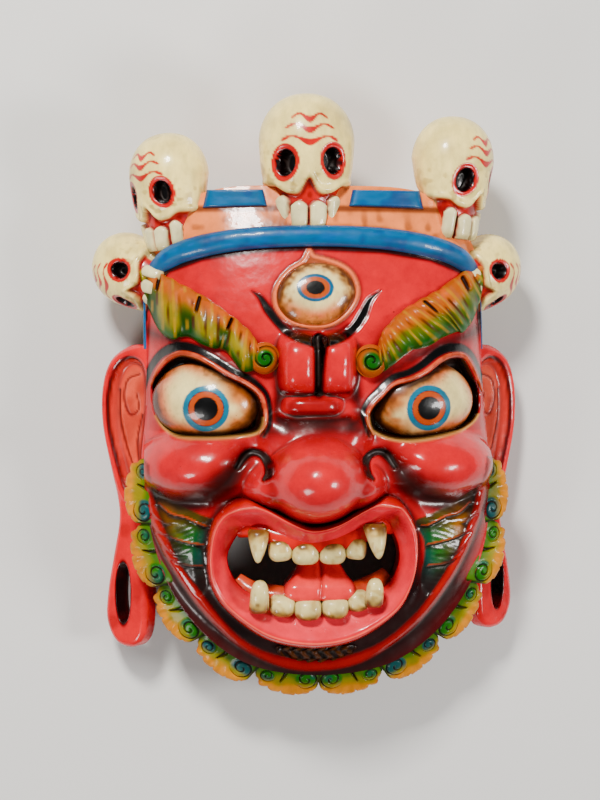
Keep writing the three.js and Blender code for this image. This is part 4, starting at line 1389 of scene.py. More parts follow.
# place of the root, width, length and tilt
UPPER_INCISORS = [(-19.6, -87.6, 104, 14.5, 14.5, 6), (-4.4, -89.6, 106, 16.2, 14.5, 1),
                  (11.9, -89.4, 106, 16.2, 14.5, -1), (26.4, -86.8, 104, 13.5, 14.5, -8)]
LOWER_INCISORS = [(-17.6, -123.4, 94, 16.0, 13.8, -3), (-2.0, -125.4, 96, 16.6, 14.0, 0),
                  (14.6, -124.6, 96, 16.6, 13.8, 0), (28.6, -120.8, 94, 14.0, 13.2, 6)]


# root, tip and radius
UPPER_FANGS = [((-33.0, -74.5, 99), (-33.8, -95.0, 105), 8.2),
               ((37.5, -71.5, 100), (39.5, -93, 107), 8.8)]
LOWER_FANGS = [((-32.5, -127.0, 90), (-32.0, -106.0, 97), 7.0),
               ((38.0, -124.0, 90), (38.5, -105.5, 97), 6.6)]
LOWER_FANG_FORM = dict(flatten=0.9, bend=2.5, blunt=0.8)


def make_teeth():
    """Four teeth and two fangs in each jaw."""
    made = []
    for table, up, name in ((UPPER_INCISORS, False, "upper"), (LOWER_INCISORS, True, "lower")):
        for number, (x, y, z, w, l, tilt) in enumerate(table):
            tooth = make_tooth((x, y, z - 8), (w, l, 17), up, tilt, seed=number)
            made.append((f"{name}_tooth_{number + 1}", *tooth))
    for table, form, name in ((UPPER_FANGS, {}, "upper"), (LOWER_FANGS, LOWER_FANG_FORM, "lower")):
        for number, fang in enumerate(table):
            made.append((f"{name}_fang_{number + 1}", *make_fang(*fang, **form)))
    done = []
    for seed, (name, points, faces, bite) in enumerate(made):
        tooth = piece(name, points, faces.tolist(), IVORY_PAINT)
        tidy_normals(tooth.data, join=POLE_GAP)
        x = mesh_points(tooth.data)
        match = np.interp(x[:, 1], *ordered(points[:, 1], bite))
        write_paint(tooth.data, tooth_paint(x, match, seed), rounds=6, scale=1.2)
        done.append(tooth)
    return done


tell("teeth", make_teeth())


# %% Gums and tongue
def flesh_paint(colour, seed):
    """A painter for wet flesh in one colour, with darker blots."""
    def painter(points, share):
        paint = prime(len(points), colour)
        coat(paint, 0.5 * soft(0.5, 0.8, mottle(points, 4, seed)), pigment(150, 30, 34))
        return paint
    return painter


UPPER_GUM = [(-45, -78, 88), (-34, -76, 93), (-20, -80, 97), (-4, -83, 99), (12, -83, 99),
             (28, -79, 97), (40, -74, 93),
             (50, -77, 87)]
LOWER_GUM = [(-45, -108, 74), (-35, -116, 76), (-20, -119.5, 79), (-3, -121.5, 80), (13, -121, 80),
             (28, -117.5, 79),
             (40, -112, 76), (48, -105, 74)]
gums = [
    rod("upper_gum", UPPER_GUM, [3, 5.5, 6.5, 6.5, 6.5, 6.5, 5.5, 3], FACE_PAINT,
        flesh_paint(pigment(206, 58, 56), 3), flat=0.9),
    rod("lower_gum", LOWER_GUM, [4, 7, 8, 8, 8, 8, 7, 4], FACE_PAINT,
        flesh_paint(pigment(206, 104, 80), 4), flat=0.9)]
tell("gums", gums)
TONGUE_RING = smooth_line([(5.5, -93), (-6, -94.5), (-8.5, -101), (-12.5, -106.5), (-16.5, -112),
                           (-15.5, -118.5),
                           (-5, -121.5), (6, -120.5), (17, -121.5), (26.5, -118), (27, -111),
                           (22.5, -105), (19, -99), (17, -94)], 8, closed=True)
TONGUE_MIDDLE, TONGUE_GROOVE = (5.5, -108), 5.8


def make_tongue():
    def height(x, y, share):
        groove = 1.5 * np.exp(-((x - TONGUE_GROOVE) / 1.6) ** 2) * soft(0.97, 0.7, share)
        z = 82 + 13 * soft(-95, -113, y) - groove
        return z - 5 * np.clip(share, 0, 1) ** 9

    def painter(points, share):
        x, y, _ = points.T
        paint = prime(len(points), pigment(232, 92, 96))
        coat(paint, 0.6 * soft(-112, -97, y), pigment(206, 66, 62))
        coat(paint, 0.5 * np.exp(-((x - TONGUE_GROOVE) / 1.0) ** 2), pigment(160, 50, 44))
        coat(paint, 0.6 * soft(0.9, 1.0, share), pigment(150, 36, 38))
        return paint

    rim = radial(TONGUE_RING, TONGUE_MIDDLE, circle(120))
    return pad("tongue", TONGUE_MIDDLE, rim, height, 70, FACE_PAINT, painter, rings=26)


tell("tongue", [make_tongue()])

# %% [markdown]
# ## Flame eyebrows
#
# Each brow is a thick ridge of hair, combed into flutes that hang from its upper edge, and it
# starts in a curled scroll beside the nose. The left one gathers into three full lobes and the
# right one is combed finely. The ridge is a grid stretched between its upper and lower lines,
# gold along the top and green below, with red-brown strokes in the flutes.

# %% Brow lines
BROW_UPPER = {
    -1: [(-33, 37), (-39, 46), (-51, 56), (-65, 66), (-80, 74.5), (-92, 81), (-104.5, 85.5)],
    1: [(39, 36), (43, 46), (54, 57), (66.5, 64.5), (79, 71), (97, 82.5), (110.5, 87.5)],
}
BROW_LOWER = {
    -1: [(-34, 21), (-43, 22), (-52, 33), (-58, 34), (-67, 38), (-75, 42), (-84, 40), (-93, 47),
         (-100, 62), (-105.5, 82)],
    1: [(38, 22), (45, 22.5), (57, 32), (72.5, 37.5), (88, 45), (94, 45), (100.5, 50), (108, 64),
        (111.5, 84)],
}
BROW_SLITS = {-1: (0.30, 0.53, 0.83), 1: (0.50, 0.80)}
BROW_COMB = {-1: (11, 0.8), 1: (14.5, -0.9)}  # fine flutes along the brow, and how they slant
BROW_ROOT = 7  # how far the ridge reaches down into the skin


def brow_lobes(u, w):
    """Counts along the left brow: each whole number is the middle of one hanging lobe."""
    return 3.6 * u + 0.35 * w + 0.15


def brow_flutes(side, u, w):
    """1 on the crest of each fine flute and -1 in the groove between two."""
    count, slant = BROW_COMB[side]
    return np.cos(2 * np.pi * (count * u + slant * w))


def brow_form(side, u, w):
    """Rise over the skin; u runs from scroll to tip, w from the upper to the lower line."""
    arch = np.sqrt(np.clip(1 - (2 * w - 1) ** 2, 0, 1)) ** 0.8
    rise = 11.5 * arch * soft(1.06, 0.84, u) ** 0.7
    if side < 0:
        comb = np.cos(2 * np.pi * brow_lobes(u, w)) * soft(0.2, 0.9, w) * 3.0
        fine = brow_flutes(side, u, w) * 0.4
    else:
        comb = np.cos(2 * np.pi * (2.1 * u + 0.3 * w)) * soft(0.3, 1.0, w) * 1.0
        fine = brow_flutes(side, u, w) * 0.75
    rise = rise + arch * (comb + fine)
    for slit in BROW_SLITS[side]:
        held = soft(0.5, 0.3, w) * soft(0.02, 0.1, w)
        rise = rise - 4.5 * np.exp(-(((u - slit - 0.02 * w) / 0.012) ** 2)) * held
    return rise


def make_brow(side):
    rows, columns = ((200, 46))
    upper = smooth_line(BROW_UPPER[side], 12)
    lower = smooth_line(BROW_LOWER[side], 12)
    u = np.linspace(0, 1, rows)
    spread = [np.linspace(0, 1, len(line)) for line in (upper, lower)]
    top = np.column_stack([np.interp(u, spread[0], upper[:, k]) for k in range(2)])
    low = np.column_stack([np.interp(u, spread[1], lower[:, k]) for k in range(2)])
    top[:, 1] += 0.8 * np.abs(np.sin(u * np.pi * 9)) - 0.4
    if side > 0:
        low[:, 1] -= 1.0 * np.abs(np.sin(u * np.pi * 7))
    else:
        low[:, 1] -= 2.4 * np.abs(np.sin(u * np.pi * 3.2)) ** 0.6 - 1.5
    w = (1 - np.cos(np.linspace(0, np.pi, columns))) / 2
    flat = top[:, None] * (1 - w)[None, :, None] + low[:, None] * w[None, :, None]
    uu, ww = np.meshgrid(u, w, indexing="ij")
    x, y = flat[..., 0], flat[..., 1]
    skin = soft_skin(x.ravel(), y.ravel()).reshape(x.shape)
    z = skin - 0.5 + brow_form(side, uu, ww)
    surface = np.stack([x, y, z], -1)
    under = np.stack([x, y, skin - BROW_ROOT], -1)[:, ::-1]
    section = np.concatenate([surface, under], 1)
    around = section.shape[1]
    points = section.reshape(-1, 3)
    faces = weave(rows, around, close_columns=True).tolist() + end_caps(rows, around)
    share = np.concatenate([uu, uu[:, ::-1]], 1).ravel()
    across = np.concatenate([ww, ww[:, ::-1]], 1).ravel()
    paint = prime(len(points), GOLD)
    wander = 0.16 * (mottle(points, 6, 8) - 0.5)
    coat(paint, soft(0.3, 0.55, across + wander), LEAF)
    coat(paint, soft(0.52, 0.9, across + wander), GREEN)
    coat(paint, 0.7 * soft(0.28, 0.05, across) * soft(0.55, 0.75, mottle(points, 5, 2)),
         pigment(212, 120, 24))
    if side < 0:
        between = soft(0.1, -0.8, np.cos(2 * np.pi * brow_lobes(share, across)))
        coat(paint, 0.8 * between * soft(0.3, 0.6, across), pigment(30, 84, 16))
        coat(paint, 0.7 * (1 - between) * soft(0.95, 0.7, across) * soft(0.2, 0.6, across),
             pigment(168, 150, 10))
    streaks = brow_flutes(side, share, across)
    grooves = 0.85 * soft(-0.45, -0.95, streaks) * soft(0.12, 0.3, across)
    grooves = grooves * soft(0.98, 0.7, across) * soft(0.3, 0.6, mottle(points, 7, 5))
    coat(paint, grooves, pigment(96, 50, 14))
    coat(paint, 0.5 * soft(0.45, 0.95, streaks) * soft(0.3, 0.6, mottle(points, 6, 15)),
         pigment(196, 160, 20))
    for slit in BROW_SLITS[side]:
        coat(paint, soft(0.016, 0.008, np.abs(share - slit - 0.02 * across))
             * soft(0.5, 0.36, across) * soft(0.02, 0.1, across), BROWN)
    brow = piece(f"eyebrow_{SIDE_NAME[side]}", points, faces, LEAF_PAINT)
    tidy_normals(brow.data)
    write_paint(brow.data, paint, rounds=6, scale=0.9)
    return brow


tell("brows", [make_brow(side) for side in SIDES])


# %% Brow scrolls
SCROLLS = {-1: (-29.8, 29.0, 9.2), 1: (34.4, 27.2, 9.6)}  # middle and radius


def make_scroll(side):
    cx, cy, radius = SCROLLS[side]
    ring = ball_ring(cx, cy, radius, radius * 1.05, 120)
    base = float(soft_skin(np.array([cx]), np.array([cy]))[0])

    def spiral(x, y):
        reach = np.hypot(x - cx, y - cy)
        angle = np.arctan2(y - cy, side * (x - cx))
        turns = (reach / radius * 2.1 - (angle + 2.2) / (2 * np.pi)) % 1.0
        return reach, np.abs(turns - 0.5) * 2

    def height(x, y, share):
        reach, turns = spiral(x, y)
        z = base + 11 - 6.5 * (reach / radius) ** 3.0
        return z - 2.0 * soft(0.62, 0.95, turns) * soft(0.02, 0.2, reach / radius)

    def painter(points, share):
        x, y, _ = points.T
        reach, turns = spiral(x, y)
        paint = prime(len(points), GOLD)
        coat(paint, soft(0.75, 0.45, reach / radius), GREEN)
        coat(paint, 0.8 * soft(0.55, 0.9, turns) * soft(0.9, 0.6, reach / radius),
             pigment(36, 78, 24))
        coat(paint, 0.6 * soft(0.82, 1.0, reach / radius), pigment(190, 110, 26))
        return paint

    return pad(f"scroll_{SIDE_NAME[side]}", (cx, cy), ring, height, base - 8, LEAF_PAINT, painter)


tell("scrolls", [make_scroll(side) for side in SIDES])

# %% [markdown]
# ## The crown band
#
# Above the forehead runs a round blue roll that turns down at the temples and thins into a
# line. Over it the wood slopes back, painted peach, to a flat blue strip between the skulls.

# %% Roll and strip
ROLL_RADII = [1.6, 2.4, 4.6, 6.6, 6.8, 6.6, 6.4, 6.6, 6.8, 6.6, 4.6, 2.4, 1.6]
STRIP_FOOT, STRIP_TOP = 122.0, 131.5
STRIP_LEVEL = 126.0  # where up the mask the strip takes its height from the dome


def make_roll():
    right = [(float(midline(y)) + x, y) for x, y in ROLL_HALF]
    left = [(float(midline(y)) - x, y) for x, y in ROLL_HALF[1:]]
    run = [*left[::-1], *right]
    line = [(x, y, float(dome(np.array(x), np.array(y))) + 2.5) for x, y in run]

    def painter(points, share):
        paint = prime(len(points), BLUE)
        coat(paint, 0.5 * soft(0.55, 0.85, mottle(points, 5, 12)), pigment(0, 74, 128))
        coat(paint, 0.5 * soft(0.5, 0.9, mottle(points * (0.4, 2, 1), 3, 2)),
             pigment(20, 122, 178))
        return paint

    return rod("crown_roll", line, ROLL_RADII, BAND_PAINT, painter, sides=26, steps=14, flat=0.85)


def make_strip(name, x0, x1):
    edge = [(x0, STRIP_FOOT - abs(x0) * 0.02), (x0 + 2.5, STRIP_TOP), (x1 - 2.5, STRIP_TOP),
            (x1, STRIP_FOOT - abs(x1) * 0.02)]
    ring = np.vstack([np.linspace(a, b, 30, endpoint=False) for a,
                      b in zip(edge, edge[1:] + edge[:1])])

    def height(x, y, share):
        return dome(x, np.full(x.shape, STRIP_LEVEL)) + 4.5 - 2.2 * np.clip(share, 0, 1) ** 14

    def painter(points, share):
        paint = prime(len(points), BLUE)
        coat(paint, 0.6 * soft(0.9, 1.0, share), pigment(0, 60, 106))
        coat(paint, 0.5 * soft(0.5, 0.8, mottle(points, 7, 4)), pigment(0, 84, 140))
        return paint

    return pad(name, ((x0 + x1) / 2, 127), ring, height, 72, BAND_PAINT, painter, rings=26)


tell("crown", [make_roll(), make_strip("crown_strip_left", -66, -27),
               make_strip("crown_strip_right", 23, 70)])

# %% [markdown]
# ## Five skulls
#
# The crown carries five skulls, each a full round head with deep sockets, a peaked cheek line
# like a gull's wings, a red hollow below it and four big teeth. They share one form, turned
# and scaled. The features are cut and painted by how far they lie round the head and how high,
# so they wrap over its curve as a carver's marks do.

# %% Skull form
skull_half = along([[-51, 16.5], [-47, 19], [-34, 22.2], [-23, 25.5], [-14, 28], [4, 29.5]])
skull_front = along([[-51, 17], [-47, 19], [-34, 20], [-23, 22.5], [-14, 26], [4, 27]])
skull_back = along([[-51, 5], [-47, 6], [-34, 10], [-23, 14], [-14, 21], [4, 27]])
SKULL_TEETH = [(-21.4, -32.5, 11.6, 6), (-7.3, -36.0, 13.0, 2), (7.3, -36.0, 13.0, -2),
               (21.4, -32.5, 11.6, -6)]  # place round the head, top, width, lean
SOCKETS = [(-15.8, -10.0, 7.0, 8.4, -12), (15.4, -8.8, 7.0, 8.4, 12)]  # middle, radii, turn
BROW_LEVEL, BALD_RISE = 4, 30  # where the skull is widest, and how far its top stands over that
JAW_LEVEL = -50.5
DROP_FROM = -15  # below this level a skull may be drawn out or shortened


def skull_marks(s, y):
    """Distances of the skull's sockets, cheek line and teeth; s runs round it, y up it."""
    marks = {}
    marks["socket"] = np.minimum(*(oval(s, y, *socket) for socket in SOCKETS))
    aside = np.abs(s)
    cheek = -27.5 + 8.5 * np.exp(-((s / 4.2) ** 2)) + 4.0 * soft(15, 26, aside)
    cheek = cheek - 1.0 * np.exp(-(((aside - 10) / 5) ** 2))
    marks["cheek"] = y - cheek
    gap = np.full(s.shape, 9.0)
    for place, top, width, lean in SKULL_TEETH:
        u = s - place - (y - top) * math.tan(math.radians(lean))
        arch = top + 3.4 * (1 - (u / (width / 2)) ** 2)
        side = np.abs(u) - width / 2
        gap = np.minimum(gap, np.maximum(side, y - arch))
    marks["teeth"] = gap
    return marks


def make_skull(name, at, turn, size, drop, seed):
    """A skull turned by turn, in degrees, and scaled by size; drop scales its length below."""
    rows_up, rows_down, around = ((44, 96, 150))
    crown = BROW_LEVEL + BALD_RISE * np.sin(np.linspace(np.pi / 2 - 0.03, 0.02, rows_up))
    ys = np.concatenate([crown, np.linspace(BROW_LEVEL, JAW_LEVEL, rows_down)])
    swell = np.sqrt(np.clip(1 - ((ys - BROW_LEVEL) / BALD_RISE) ** 2, 0, 1)) ** 0.9
    upper = ys > BROW_LEVEL
    half = np.where(upper, 29.5 * swell, skull_half(ys))
    front = np.where(upper, 27 * swell, skull_front(ys))
    back = np.where(upper, 27 * swell, skull_back(ys))
    angle = np.linspace(-np.pi, np.pi, around, endpoint=False)
    angle = angle - 0.22 * np.sin(angle * 2) * 0.5  # more points to the front
    x = half[:, None] * np.sin(angle)[None]
    depth = np.where(np.cos(angle)[None] > 0, front[:, None], back[:, None]) * np.cos(angle)[None]
    y = np.repeat(ys[:, None], around, 1)
    s = np.where(y > BROW_LEVEL, angle[None] * 26.5, angle[None] * (half[:, None] * 0.5 + 13.2))
    marks = skull_marks(s, y)
    forward = soft(1.9, 1.45, np.abs(angle))[None]
    cut_in = 9.0 * soft(1.0, 0.62, marks["socket"]) + 0.8 * soft(1.28, 1.1, marks["socket"])
    below = soft(0.6, -1.2, marks["cheek"])
    # a hollow under the cheek line, filled where a tooth stands, and a ridge over that line
    standing = 3.6 * below * soft(0.5, -0.9, marks["teeth"]) + 1.0 * soft(0, -3.5, marks["teeth"])
    cut_in = cut_in + forward * (3.6 * below - standing)
    cut_in = cut_in - forward * 1.4 * np.exp(-((marks["cheek"] - 2.2) / 2.2) ** 2)
    reach = np.maximum(np.hypot(x, depth), 1e-6)
    x, depth = x * (1 - cut_in / reach), depth * (1 - cut_in / reach)
    local = np.stack([x, np.where(y < DROP_FROM, DROP_FROM + (y - DROP_FROM) * drop, y), depth],
                     -1).reshape(-1, 3)
    flat_marks = {key: value.ravel() for key, value in marks.items()}
    paint = skull_paint(local, s.ravel(), y.ravel(), flat_marks, seed)
    faces = weave(len(ys), around, close_columns=True).tolist() + end_caps(len(ys), around)
    rx, ry, rz = (math.radians(v) for v in turn)
    spin = np.array(Matrix.Rotation(rz, 3, "Z") @ Matrix.Rotation(ry, 3, "Y")
                    @ Matrix.Rotation(rx, 3, "X"))
    points = (local * size) @ spin.T + at
    skull = piece(name, points, faces, IVORY_PAINT)
    tidy_normals(skull.data)
    write_paint(skull.data, paint, rounds=8, scale=1.3)
    return skull


# %% Skull paint
SKULL_RED = pigment(200, 26, 40)
WRINKLES = ((17.5, 11.5), (11.0, 15.0), (3.6, 18.0))  # height, and half length


def skull_paint(p, s, y, marks, seed):
    paint = prime(len(p), pigment(250, 234, 172))
    coat(paint, 0.4 * soft(0.5, 0.85, mottle(p, 9, seed)), pigment(206, 190, 140))
    coat(paint, 0.55 * soft(0.62, 0.8, mottle(p, 3.5, seed + 2)) * soft(12, -20, y),
         pigment(168, 140, 84))
    front = np.abs(s) < 33
    for lift, reach in WRINKLES:
        u = s / reach
        gull = lift - 1.7 * np.cos(2 * np.pi * np.clip(u, -1, 1) * 0.92) + 1.0 * u**2
        thick = np.where(np.abs(u) < 1,
                         2.0 * np.sqrt(np.clip(1 - u**2, 0, 1))
                         * (0.75 + 0.3 * np.cos(2 * np.pi * u)), -1)
        coat(paint, soft(thick + 0.35, thick - 0.35, np.abs(y - gull)) * front
             * (np.abs(u) < 1.05), SKULL_RED)
    coat(paint, soft(1.4, 1.34, marks["socket"]), SKULL_RED)
    coat(paint, soft(1.05, 0.98, marks["socket"]), pigment(44, 32, 26))
    coat(paint, 0.7 * soft(0.8, 0.3, marks["socket"]), pigment(20, 14, 12))
    hollow = soft(0.5, -0.5, marks["cheek"]) * (np.abs(s) < 36)
    coat(paint, hollow, pigment(196, 44, 46))
    coat(paint, 0.7 * hollow * soft(0.4, 0.8, mottle(p, 3, seed + 5)), pigment(150, 26, 32))
    tooth = soft(0.25, -0.45, marks["teeth"]) * hollow
    coat(paint, tooth, pigment(232, 224, 186))
    coat(paint, 0.6 * tooth * soft(-42, -52, y), pigment(196, 170, 110))
    back = soft(34, 38, np.abs(s)) * soft(-18, -26, y)
    coat(paint, back, pigment(204, 190, 146))
    coat(paint, 0.6 * back * soft(0.45, 0.8, mottle(p, 4, seed + 7)), pigment(150, 120, 72))
    return paint


# name, place, turn, size, and length below the sockets
SKULLS = [("skull_middle", (-2, 157, 77), (0, 0, 0), 1.0, 1.0),
          ("skull_left", (-86, 138, 60), (0, -48, 4), 0.88, 0.95),
          ("skull_right", (91, 148, 60), (0, 48, -4), 0.93, 0.95),
          ("skull_low_left", (-109.0, 83.0, 42), (-48, -32, 97), 0.8, 0.75),
          ("skull_low_right", (113.5, 82.5, 42), (-48, 32, -93), 0.8, 0.75)]
tell("skulls", [make_skull(*row, seed=30 + number) for number, row in enumerate(SKULLS)])

# %% [markdown]
# ## Ears with long lobes
#
# Each ear is a thick slab that stands out and leans back from the side of the head. Its rounded
# rim surrounds a pink hollow with thin scroll lines, and the lobe hangs long, with a slot where
# an earring would be. It is a grid whose rows run across the ear from edge to edge; the slot is
# then cut right through.

# %% Ears
EAR_OUTLINE = [(-6, 30), (2, 36), (16, 36), (31, 27), (38, 10), (38, -14), (32, -40), (26, -62),
               (25, -76), (29, -96), (34, -120), (35, -140), (27, -154), (13, -156), (4, -146),
               (2, -120), (2, -92), (0, -70), (-6, -50)]
EAR_HOLLOW = [(4, 22), (14, 28), (25, 22), (31, 6), (31, -14), (25, -36), (17, -56), (8, -58),
              (6, -30), (2, 0)]
EAR_SCROLLS = [[(10, 18), (20, 14), (23, 2), (18, -8), (11, -4), (13, 6)],
               [(26, 8), (26, -10), (21, -28), (14, -44)], [(8, -8), (12, -24), (10, -44)]]
EAR_THICKNESS, EAR_ROOT, EAR_FLARE = 13.0, 97.0, 52.0
LOBE_TOP = -60
LOBE_LENGTH = {-1: 1.0, 1: 0.9}
SLOT = dict(x=20, y=-122.0, rx=6, ry=19)
SLOT_LEVELS = [-4, 2, 5, 8, 11, 20]
EAR_LIFT = 33  # height of the ear's back edge over the rim
BEVEL = 4.2


def lobe_drop(v, side):
    """Place along the ear as drawn, moved to where this side's longer or shorter lobe has it."""
    return np.where(v > LOBE_TOP, v, LOBE_TOP + (v - LOBE_TOP) * LOBE_LENGTH[side])


def make_ear(side):
    ring = smooth_line(EAR_OUTLINE, 8, closed=True)
    rows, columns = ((190, 52))
    low, high = ring[:, 1].min() + 0.15, ring[:, 1].max() - 0.15
    crowded = (1 - np.cos(np.linspace(0, np.pi, rows))) / 2  # more rows near the two ends
    v = low + (high - low) * crowded * 0.35 + (high - low) * np.linspace(0, 1, rows) * 0.65
    left, right = [], []
    for level in v:
        a, b = ring, np.roll(ring, -1, 0)
        hits = (a[:, 1] > level) != (b[:, 1] > level)
        (au, av), (bu, bv) = a[hits].T, b[hits].T
        u = au + (level - av) / (bv - av) * (bu - au)
        left.append(u.min())
        right.append(u.max())
    share = (1 - np.cos(np.linspace(0, np.pi, columns))) / 2
    u = np.array(left)[:, None] * (1 - share) + np.array(right)[:, None] * share
    vv = np.repeat(v[:, None], columns, 1)
    gap = np.clip(-ring_gap(ring, u.ravel(), vv.ravel(), 60).reshape(u.shape), 0, 50)
    bevel = BEVEL * (1 - np.sqrt(np.clip(1 - (1 - np.clip(gap / BEVEL, 0, 1)) ** 2, 0, 1)))
    pit = ring_gap(smooth_line(EAR_HOLLOW, 8, closed=True), u.ravel(), vv.ravel(),
                   30).reshape(u.shape)
    scroll = np.max([stroke(line, [0.8, 1.2, 0.7], u.ravel(), vv.ravel(), 0.8)
                     for line in EAR_SCROLLS], 0).reshape(u.shape)
    hollow = 5.0 * soft(1.5, -4.0, pit) + 0.8 * scroll * (pit < 0)
    front = EAR_THICKNESS - bevel - hollow + 0.9 * np.exp(-((pit - 4) / 2.5) ** 2)
    top = np.stack([u, lobe_drop(vv, side), front], -1)
    under = np.stack([u, lobe_drop(vv, side), bevel * 0.6], -1)[:, ::-1]
    points = np.concatenate([top, under], 1)
    around = points.shape[1]
    faces = weave(rows, around, close_columns=True).tolist() + end_caps(rows, around)
    ear = piece(f"ear_{SIDE_NAME[side]}", points.reshape(-1, 3), faces, FACE_PAINT)
    tidy_normals(ear.data)
    t = circle(60)
    slot = np.column_stack([SLOT["x"] + SLOT["rx"] * power(np.cos(t), 0.7),
                            float(lobe_drop(SLOT["y"], side)) + SLOT["ry"] * np.sin(t)])
    cut(ear, prism("slot", slot, SLOT_LEVELS))
    local = mesh_points(ear.data)
    paint = ear_paint(local, side)
    angle = math.radians(side * (90 - EAR_FLARE))
    c, s = math.cos(angle), math.sin(angle)
    x, y, z = (local * (side, 1, 1)).T
    root = (float(midline(0.0)) + side * EAR_ROOT, 0, EAR_LIFT)
    placed = np.column_stack([x * c + z * s, y, -x * s + z * c]) + root
    ear.data.vertices.foreach_set("co", to_frame(placed).ravel())
    give_finish(ear.data, FACE_PAINT)
    if side < 0:
        ear.data.flip_normals()
    tidy_normals(ear.data)
    write_paint(ear.data, paint, rounds=8, scale=1.2)
    return ear


def ear_paint(p, side):
    u, v, w = p.T
    v = np.where(v > LOBE_TOP, v,
                 LOBE_TOP + (v - LOBE_TOP) / LOBE_LENGTH[side])  # back to the drawing
    paint = prime(len(p), pigment(222, 48, 76))
    pit = ring_gap(smooth_line(EAR_HOLLOW, 8, closed=True), u, v, 30)
    front = w > 6
    coat(paint, soft(0.8, -0.6, pit) * front, pigment(216, 92, 84))
    coat(paint, 0.5 * soft(-2, -9, pit) * front, pigment(240, 140, 112))
    for line in EAR_SCROLLS:
        coat(paint, 0.9 * stroke(line, [0.5, 0.9, 0.4], u, v, 0.5) * front * (pit < -1),
             pigment(140, 44, 40))
    coat(paint, 0.9 * soft(1.7, 0.6, np.abs(pit - 0.6)) * front, pigment(60, 16, 20))
    slot = oval(u, v, SLOT["x"], SLOT["y"], SLOT["rx"], SLOT["ry"])
    coat(paint, soft(1.22, 1.04, slot), pigment(64, 18, 24))
    # painted shade: deep red on the back of the ear and the lower part of its sides
    coat(paint, 0.6 * soft(4, 0, w), DEEP_RED)
    coat(paint, 0.5 * soft(0.55, 0.85, mottle(p, 10, 6)), pigment(170, 22, 36))
    return paint


tell("ears", [make_ear(side) for side in SIDES])

# %% [markdown]
# ## The leafy beard
#
# Ten leaves stand round the jaw, five to a side, each starting in a small curl, ending in a
# larger one, with a short slit between and a scalloped outer edge. They are gold outside and
# turn green and blue in the curls. Every leaf is a pad in its own place along the jaw line,
# leaning back at its outer edge.

# %% Beard line and leaf shape
BEARD_HALF = [(106.5, -34), (108, -60), (103, -92), (91, -121), (70, -147), (41, -165), (0, -171)]
LEAF_COUNT, LEAF_TILT, LEAF_THICKNESS = 10, 24.0, 13.0
LEAF_WIDTH = 37  # the drawn leaf, from curl to curl
LEAF_LIFT = 12.5  # its front over the edge of the dome
END_LEAF_INSET = 3.0  # the two upper leaves sit nearer the cheek
LEAF_RING = [(-18.5, -6), (-19, 2), (-18, 7), (-16.2, 9.5), (-15.6, 12.8), (-12.5, 14.6),
             (-10.4, 14), (-9.6, 15.4),
             (-6.4, 17.2), (-3.2, 17.4), (-2.2, 16), (-1.2, 17.6), (2.4, 18.6), (6, 18.2),
             (6.9, 16.8), (8, 17.6),
             (11.4, 17), (14.4, 15.2), (15, 13.8), (16.6, 13.6), (18.6, 10.6), (19.2, 5),
             (18.6, -6), (0, -7)]
CURLS = [(11.6, 4.4, 6.4, 1), (-11.4, 4.6, 4.2, -1)]  # place along and out, radius, way it winds
LEAF_SLIT = [(-1.5, -4), (-1.0, 2), (-3.4, 8.5)]


def beard_curve():
    """The line on which the leaves stand, and the length along it at each of its points."""
    right = [(float(midline(y)) + x, y) for x, y in BEARD_HALF]
    left = [(float(midline(y)) - x, y) for x, y in BEARD_HALF[-2::-1]]
    line = smooth_line(right + left, 14)
    length = np.concatenate([[0], np.cumsum(np.linalg.norm(np.diff(line, axis=0), axis=1))])
    return line, length


def curl_depth(s, w):
    """Raised edge and spiral groove of the two curls, and the slit; and where the curls are."""
    z, boss, groove = 0 * s, 0 * s, 0 * s
    for cs, cw, radius, way in CURLS:
        reach = np.hypot(s - cs, w - cw)
        angle = np.arctan2(w - cw, way * (s - cs))
        turns = np.abs((reach / radius * 1.5 - (angle + 2.6) / (2 * np.pi)) % 1.0 - 0.5) * 2
        z = z + 1.2 * soft(radius + 1.5, radius * 0.3, reach)
        curl = soft(0.66, 0.92, turns) * soft(radius + 1.2, radius + 0.4, reach)
        groove = np.maximum(groove, curl * soft(0.5, 1.3, reach))
        boss = np.maximum(boss, soft(radius + 0.6, radius - 0.6, reach))
    slit = stroke(LEAF_SLIT, [1.0, 1.1, 0.4], s, w, 0.6)
    return z - 1.6 * groove - 2.0 * slit, boss, np.maximum(groove, slit)


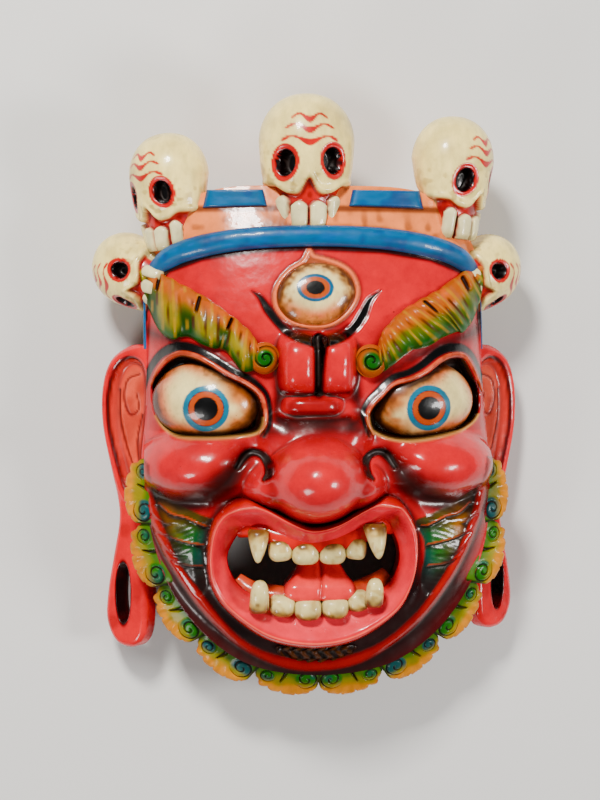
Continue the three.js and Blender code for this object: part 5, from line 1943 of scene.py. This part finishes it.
# %% Leaves
def make_leaf(number):
    line, length = beard_curve()
    pitch = length[-1] / LEAF_COUNT
    where = (number + 0.5) * pitch
    at = np.array([np.interp(where, length, line[:, k]) for k in range(2)])
    ahead = np.array([np.interp(where + 1, length, line[:, k]) for k in range(2)]) - at
    ahead /= np.linalg.norm(ahead)
    along_run = ahead if number < LEAF_COUNT / 2 else -ahead
    outward = np.array([-ahead[1], ahead[0]])
    inset_by = END_LEAF_INSET * (number in (0, LEAF_COUNT - 1))
    front = float(edge_height(at[1])) + LEAF_LIFT
    lean = math.radians(LEAF_TILT)
    ring = smooth_line(LEAF_RING, 8, closed=True)
    ring = radial(ring, (0, 5), circle(170))

    def height(s, w, share):
        relief, _, _ = curl_depth(s, w)
        fan = np.cos(np.arctan2(s + 1, w + 9) * 22) * soft(8, 14, w)
        return relief - 1.6 * np.clip(share, 0, 1) ** 9 + 0.45 * fan

    def painter(p, share):
        s, w, _ = p.T
        _, boss, groove = curl_depth(s, w)
        noise = mottle(p + number * 31.0, 5, number)
        paint = prime(len(p), pigment(212, 154, 0))
        coat(paint, 0.85 * soft(13.5, 8.0, w + 4 * (noise - 0.5)), pigment(142, 146, 0))
        coat(paint, 0.85 * soft(8.5, 2.0, w + 4 * (noise - 0.5)), pigment(70, 126, 22))
        coat(paint, 0.9 * boss * soft(9, 5, w), pigment(52, 124, 26) if number % 3
             else pigment(10, 104, 110))
        coat(paint, 0.5 * boss * soft(0.5, 0.8, noise), pigment(10, 100, 110))
        coat(paint, 0.5 * soft(-12, -18, s) * soft(4, 10, w), pigment(196, 104, 20))
        coat(paint, 0.4 * soft(0.9, 1.0, share) * soft(6, 12, w) * soft(0.4, 0.7, mottle(p, 4, 3)),
             pigment(176, 100, 10))
        coat(paint, 0.9 * groove, pigment(60, 40, 22))
        coat(paint, 0.85 * soft(17.4, 18.8, np.abs(s)) * soft(14, 8, w), pigment(50, 26, 20))
        return paint

    leaf = pad(f"beard_leaf_{number + 1}", (0, 5), ring, height, -LEAF_THICKNESS, LEAF_PAINT,
               painter, rings=34, rounds=5, scale=0.8)
    s, w, z = mesh_points(leaf.data).T
    s = s * pitch / LEAF_WIDTH
    back = w * math.cos(lean) + z * math.sin(lean)
    up = z * math.cos(lean) - w * math.sin(lean)
    flat = at + s[:, None] * along_run + (back[:, None] - inset_by) * outward
    leaf.data.vertices.foreach_set("co", to_frame(np.column_stack([flat, front + up])).ravel())
    tidy_normals(leaf.data)
    return leaf


tell("leaves", [make_leaf(number) for number in range(LEAF_COUNT)])


# %% Chin tuft
TUFT_MIDDLE = (5, -157)
TUFT_RING = smooth_line([(-20, -152), (-17, -159), (-7, -163.5), (5, -164.5), (17, -163),
                         (27, -158.5), (30, -152), (19, -150.5), (5, -150), (-9, -150.5)], 10,
                         closed=True)


def make_tuft():
    ring = radial(TUFT_RING, TUFT_MIDDLE, circle(140))
    cx, cy = TUFT_MIDDLE

    def curls(x, y):
        return np.cos((x - cx) * 0.85 + 1.2 * np.sin((y - cy) * 0.7)) * np.cos((y - cy) * 0.55)

    def height(x, y, share):
        return dome(x, y) + 5.5 + 1.3 * curls(x, y) - 4.5 * np.clip(share, 0, 1) ** 3

    def painter(points, share):
        x, y, _ = points.T
        paint = prime(len(points), pigment(104, 70, 20))
        coat(paint, 0.95 * soft(0.45, -0.25, curls(x, y)), pigment(30, 16, 12))
        coat(paint, 0.6 * soft(0.75, 1.0, share), pigment(60, 30, 18))
        return paint

    return pad("chin_tuft", TUFT_MIDDLE, ring, height, 60, LEAF_PAINT, painter)


tell("chin tuft", [make_tuft()])
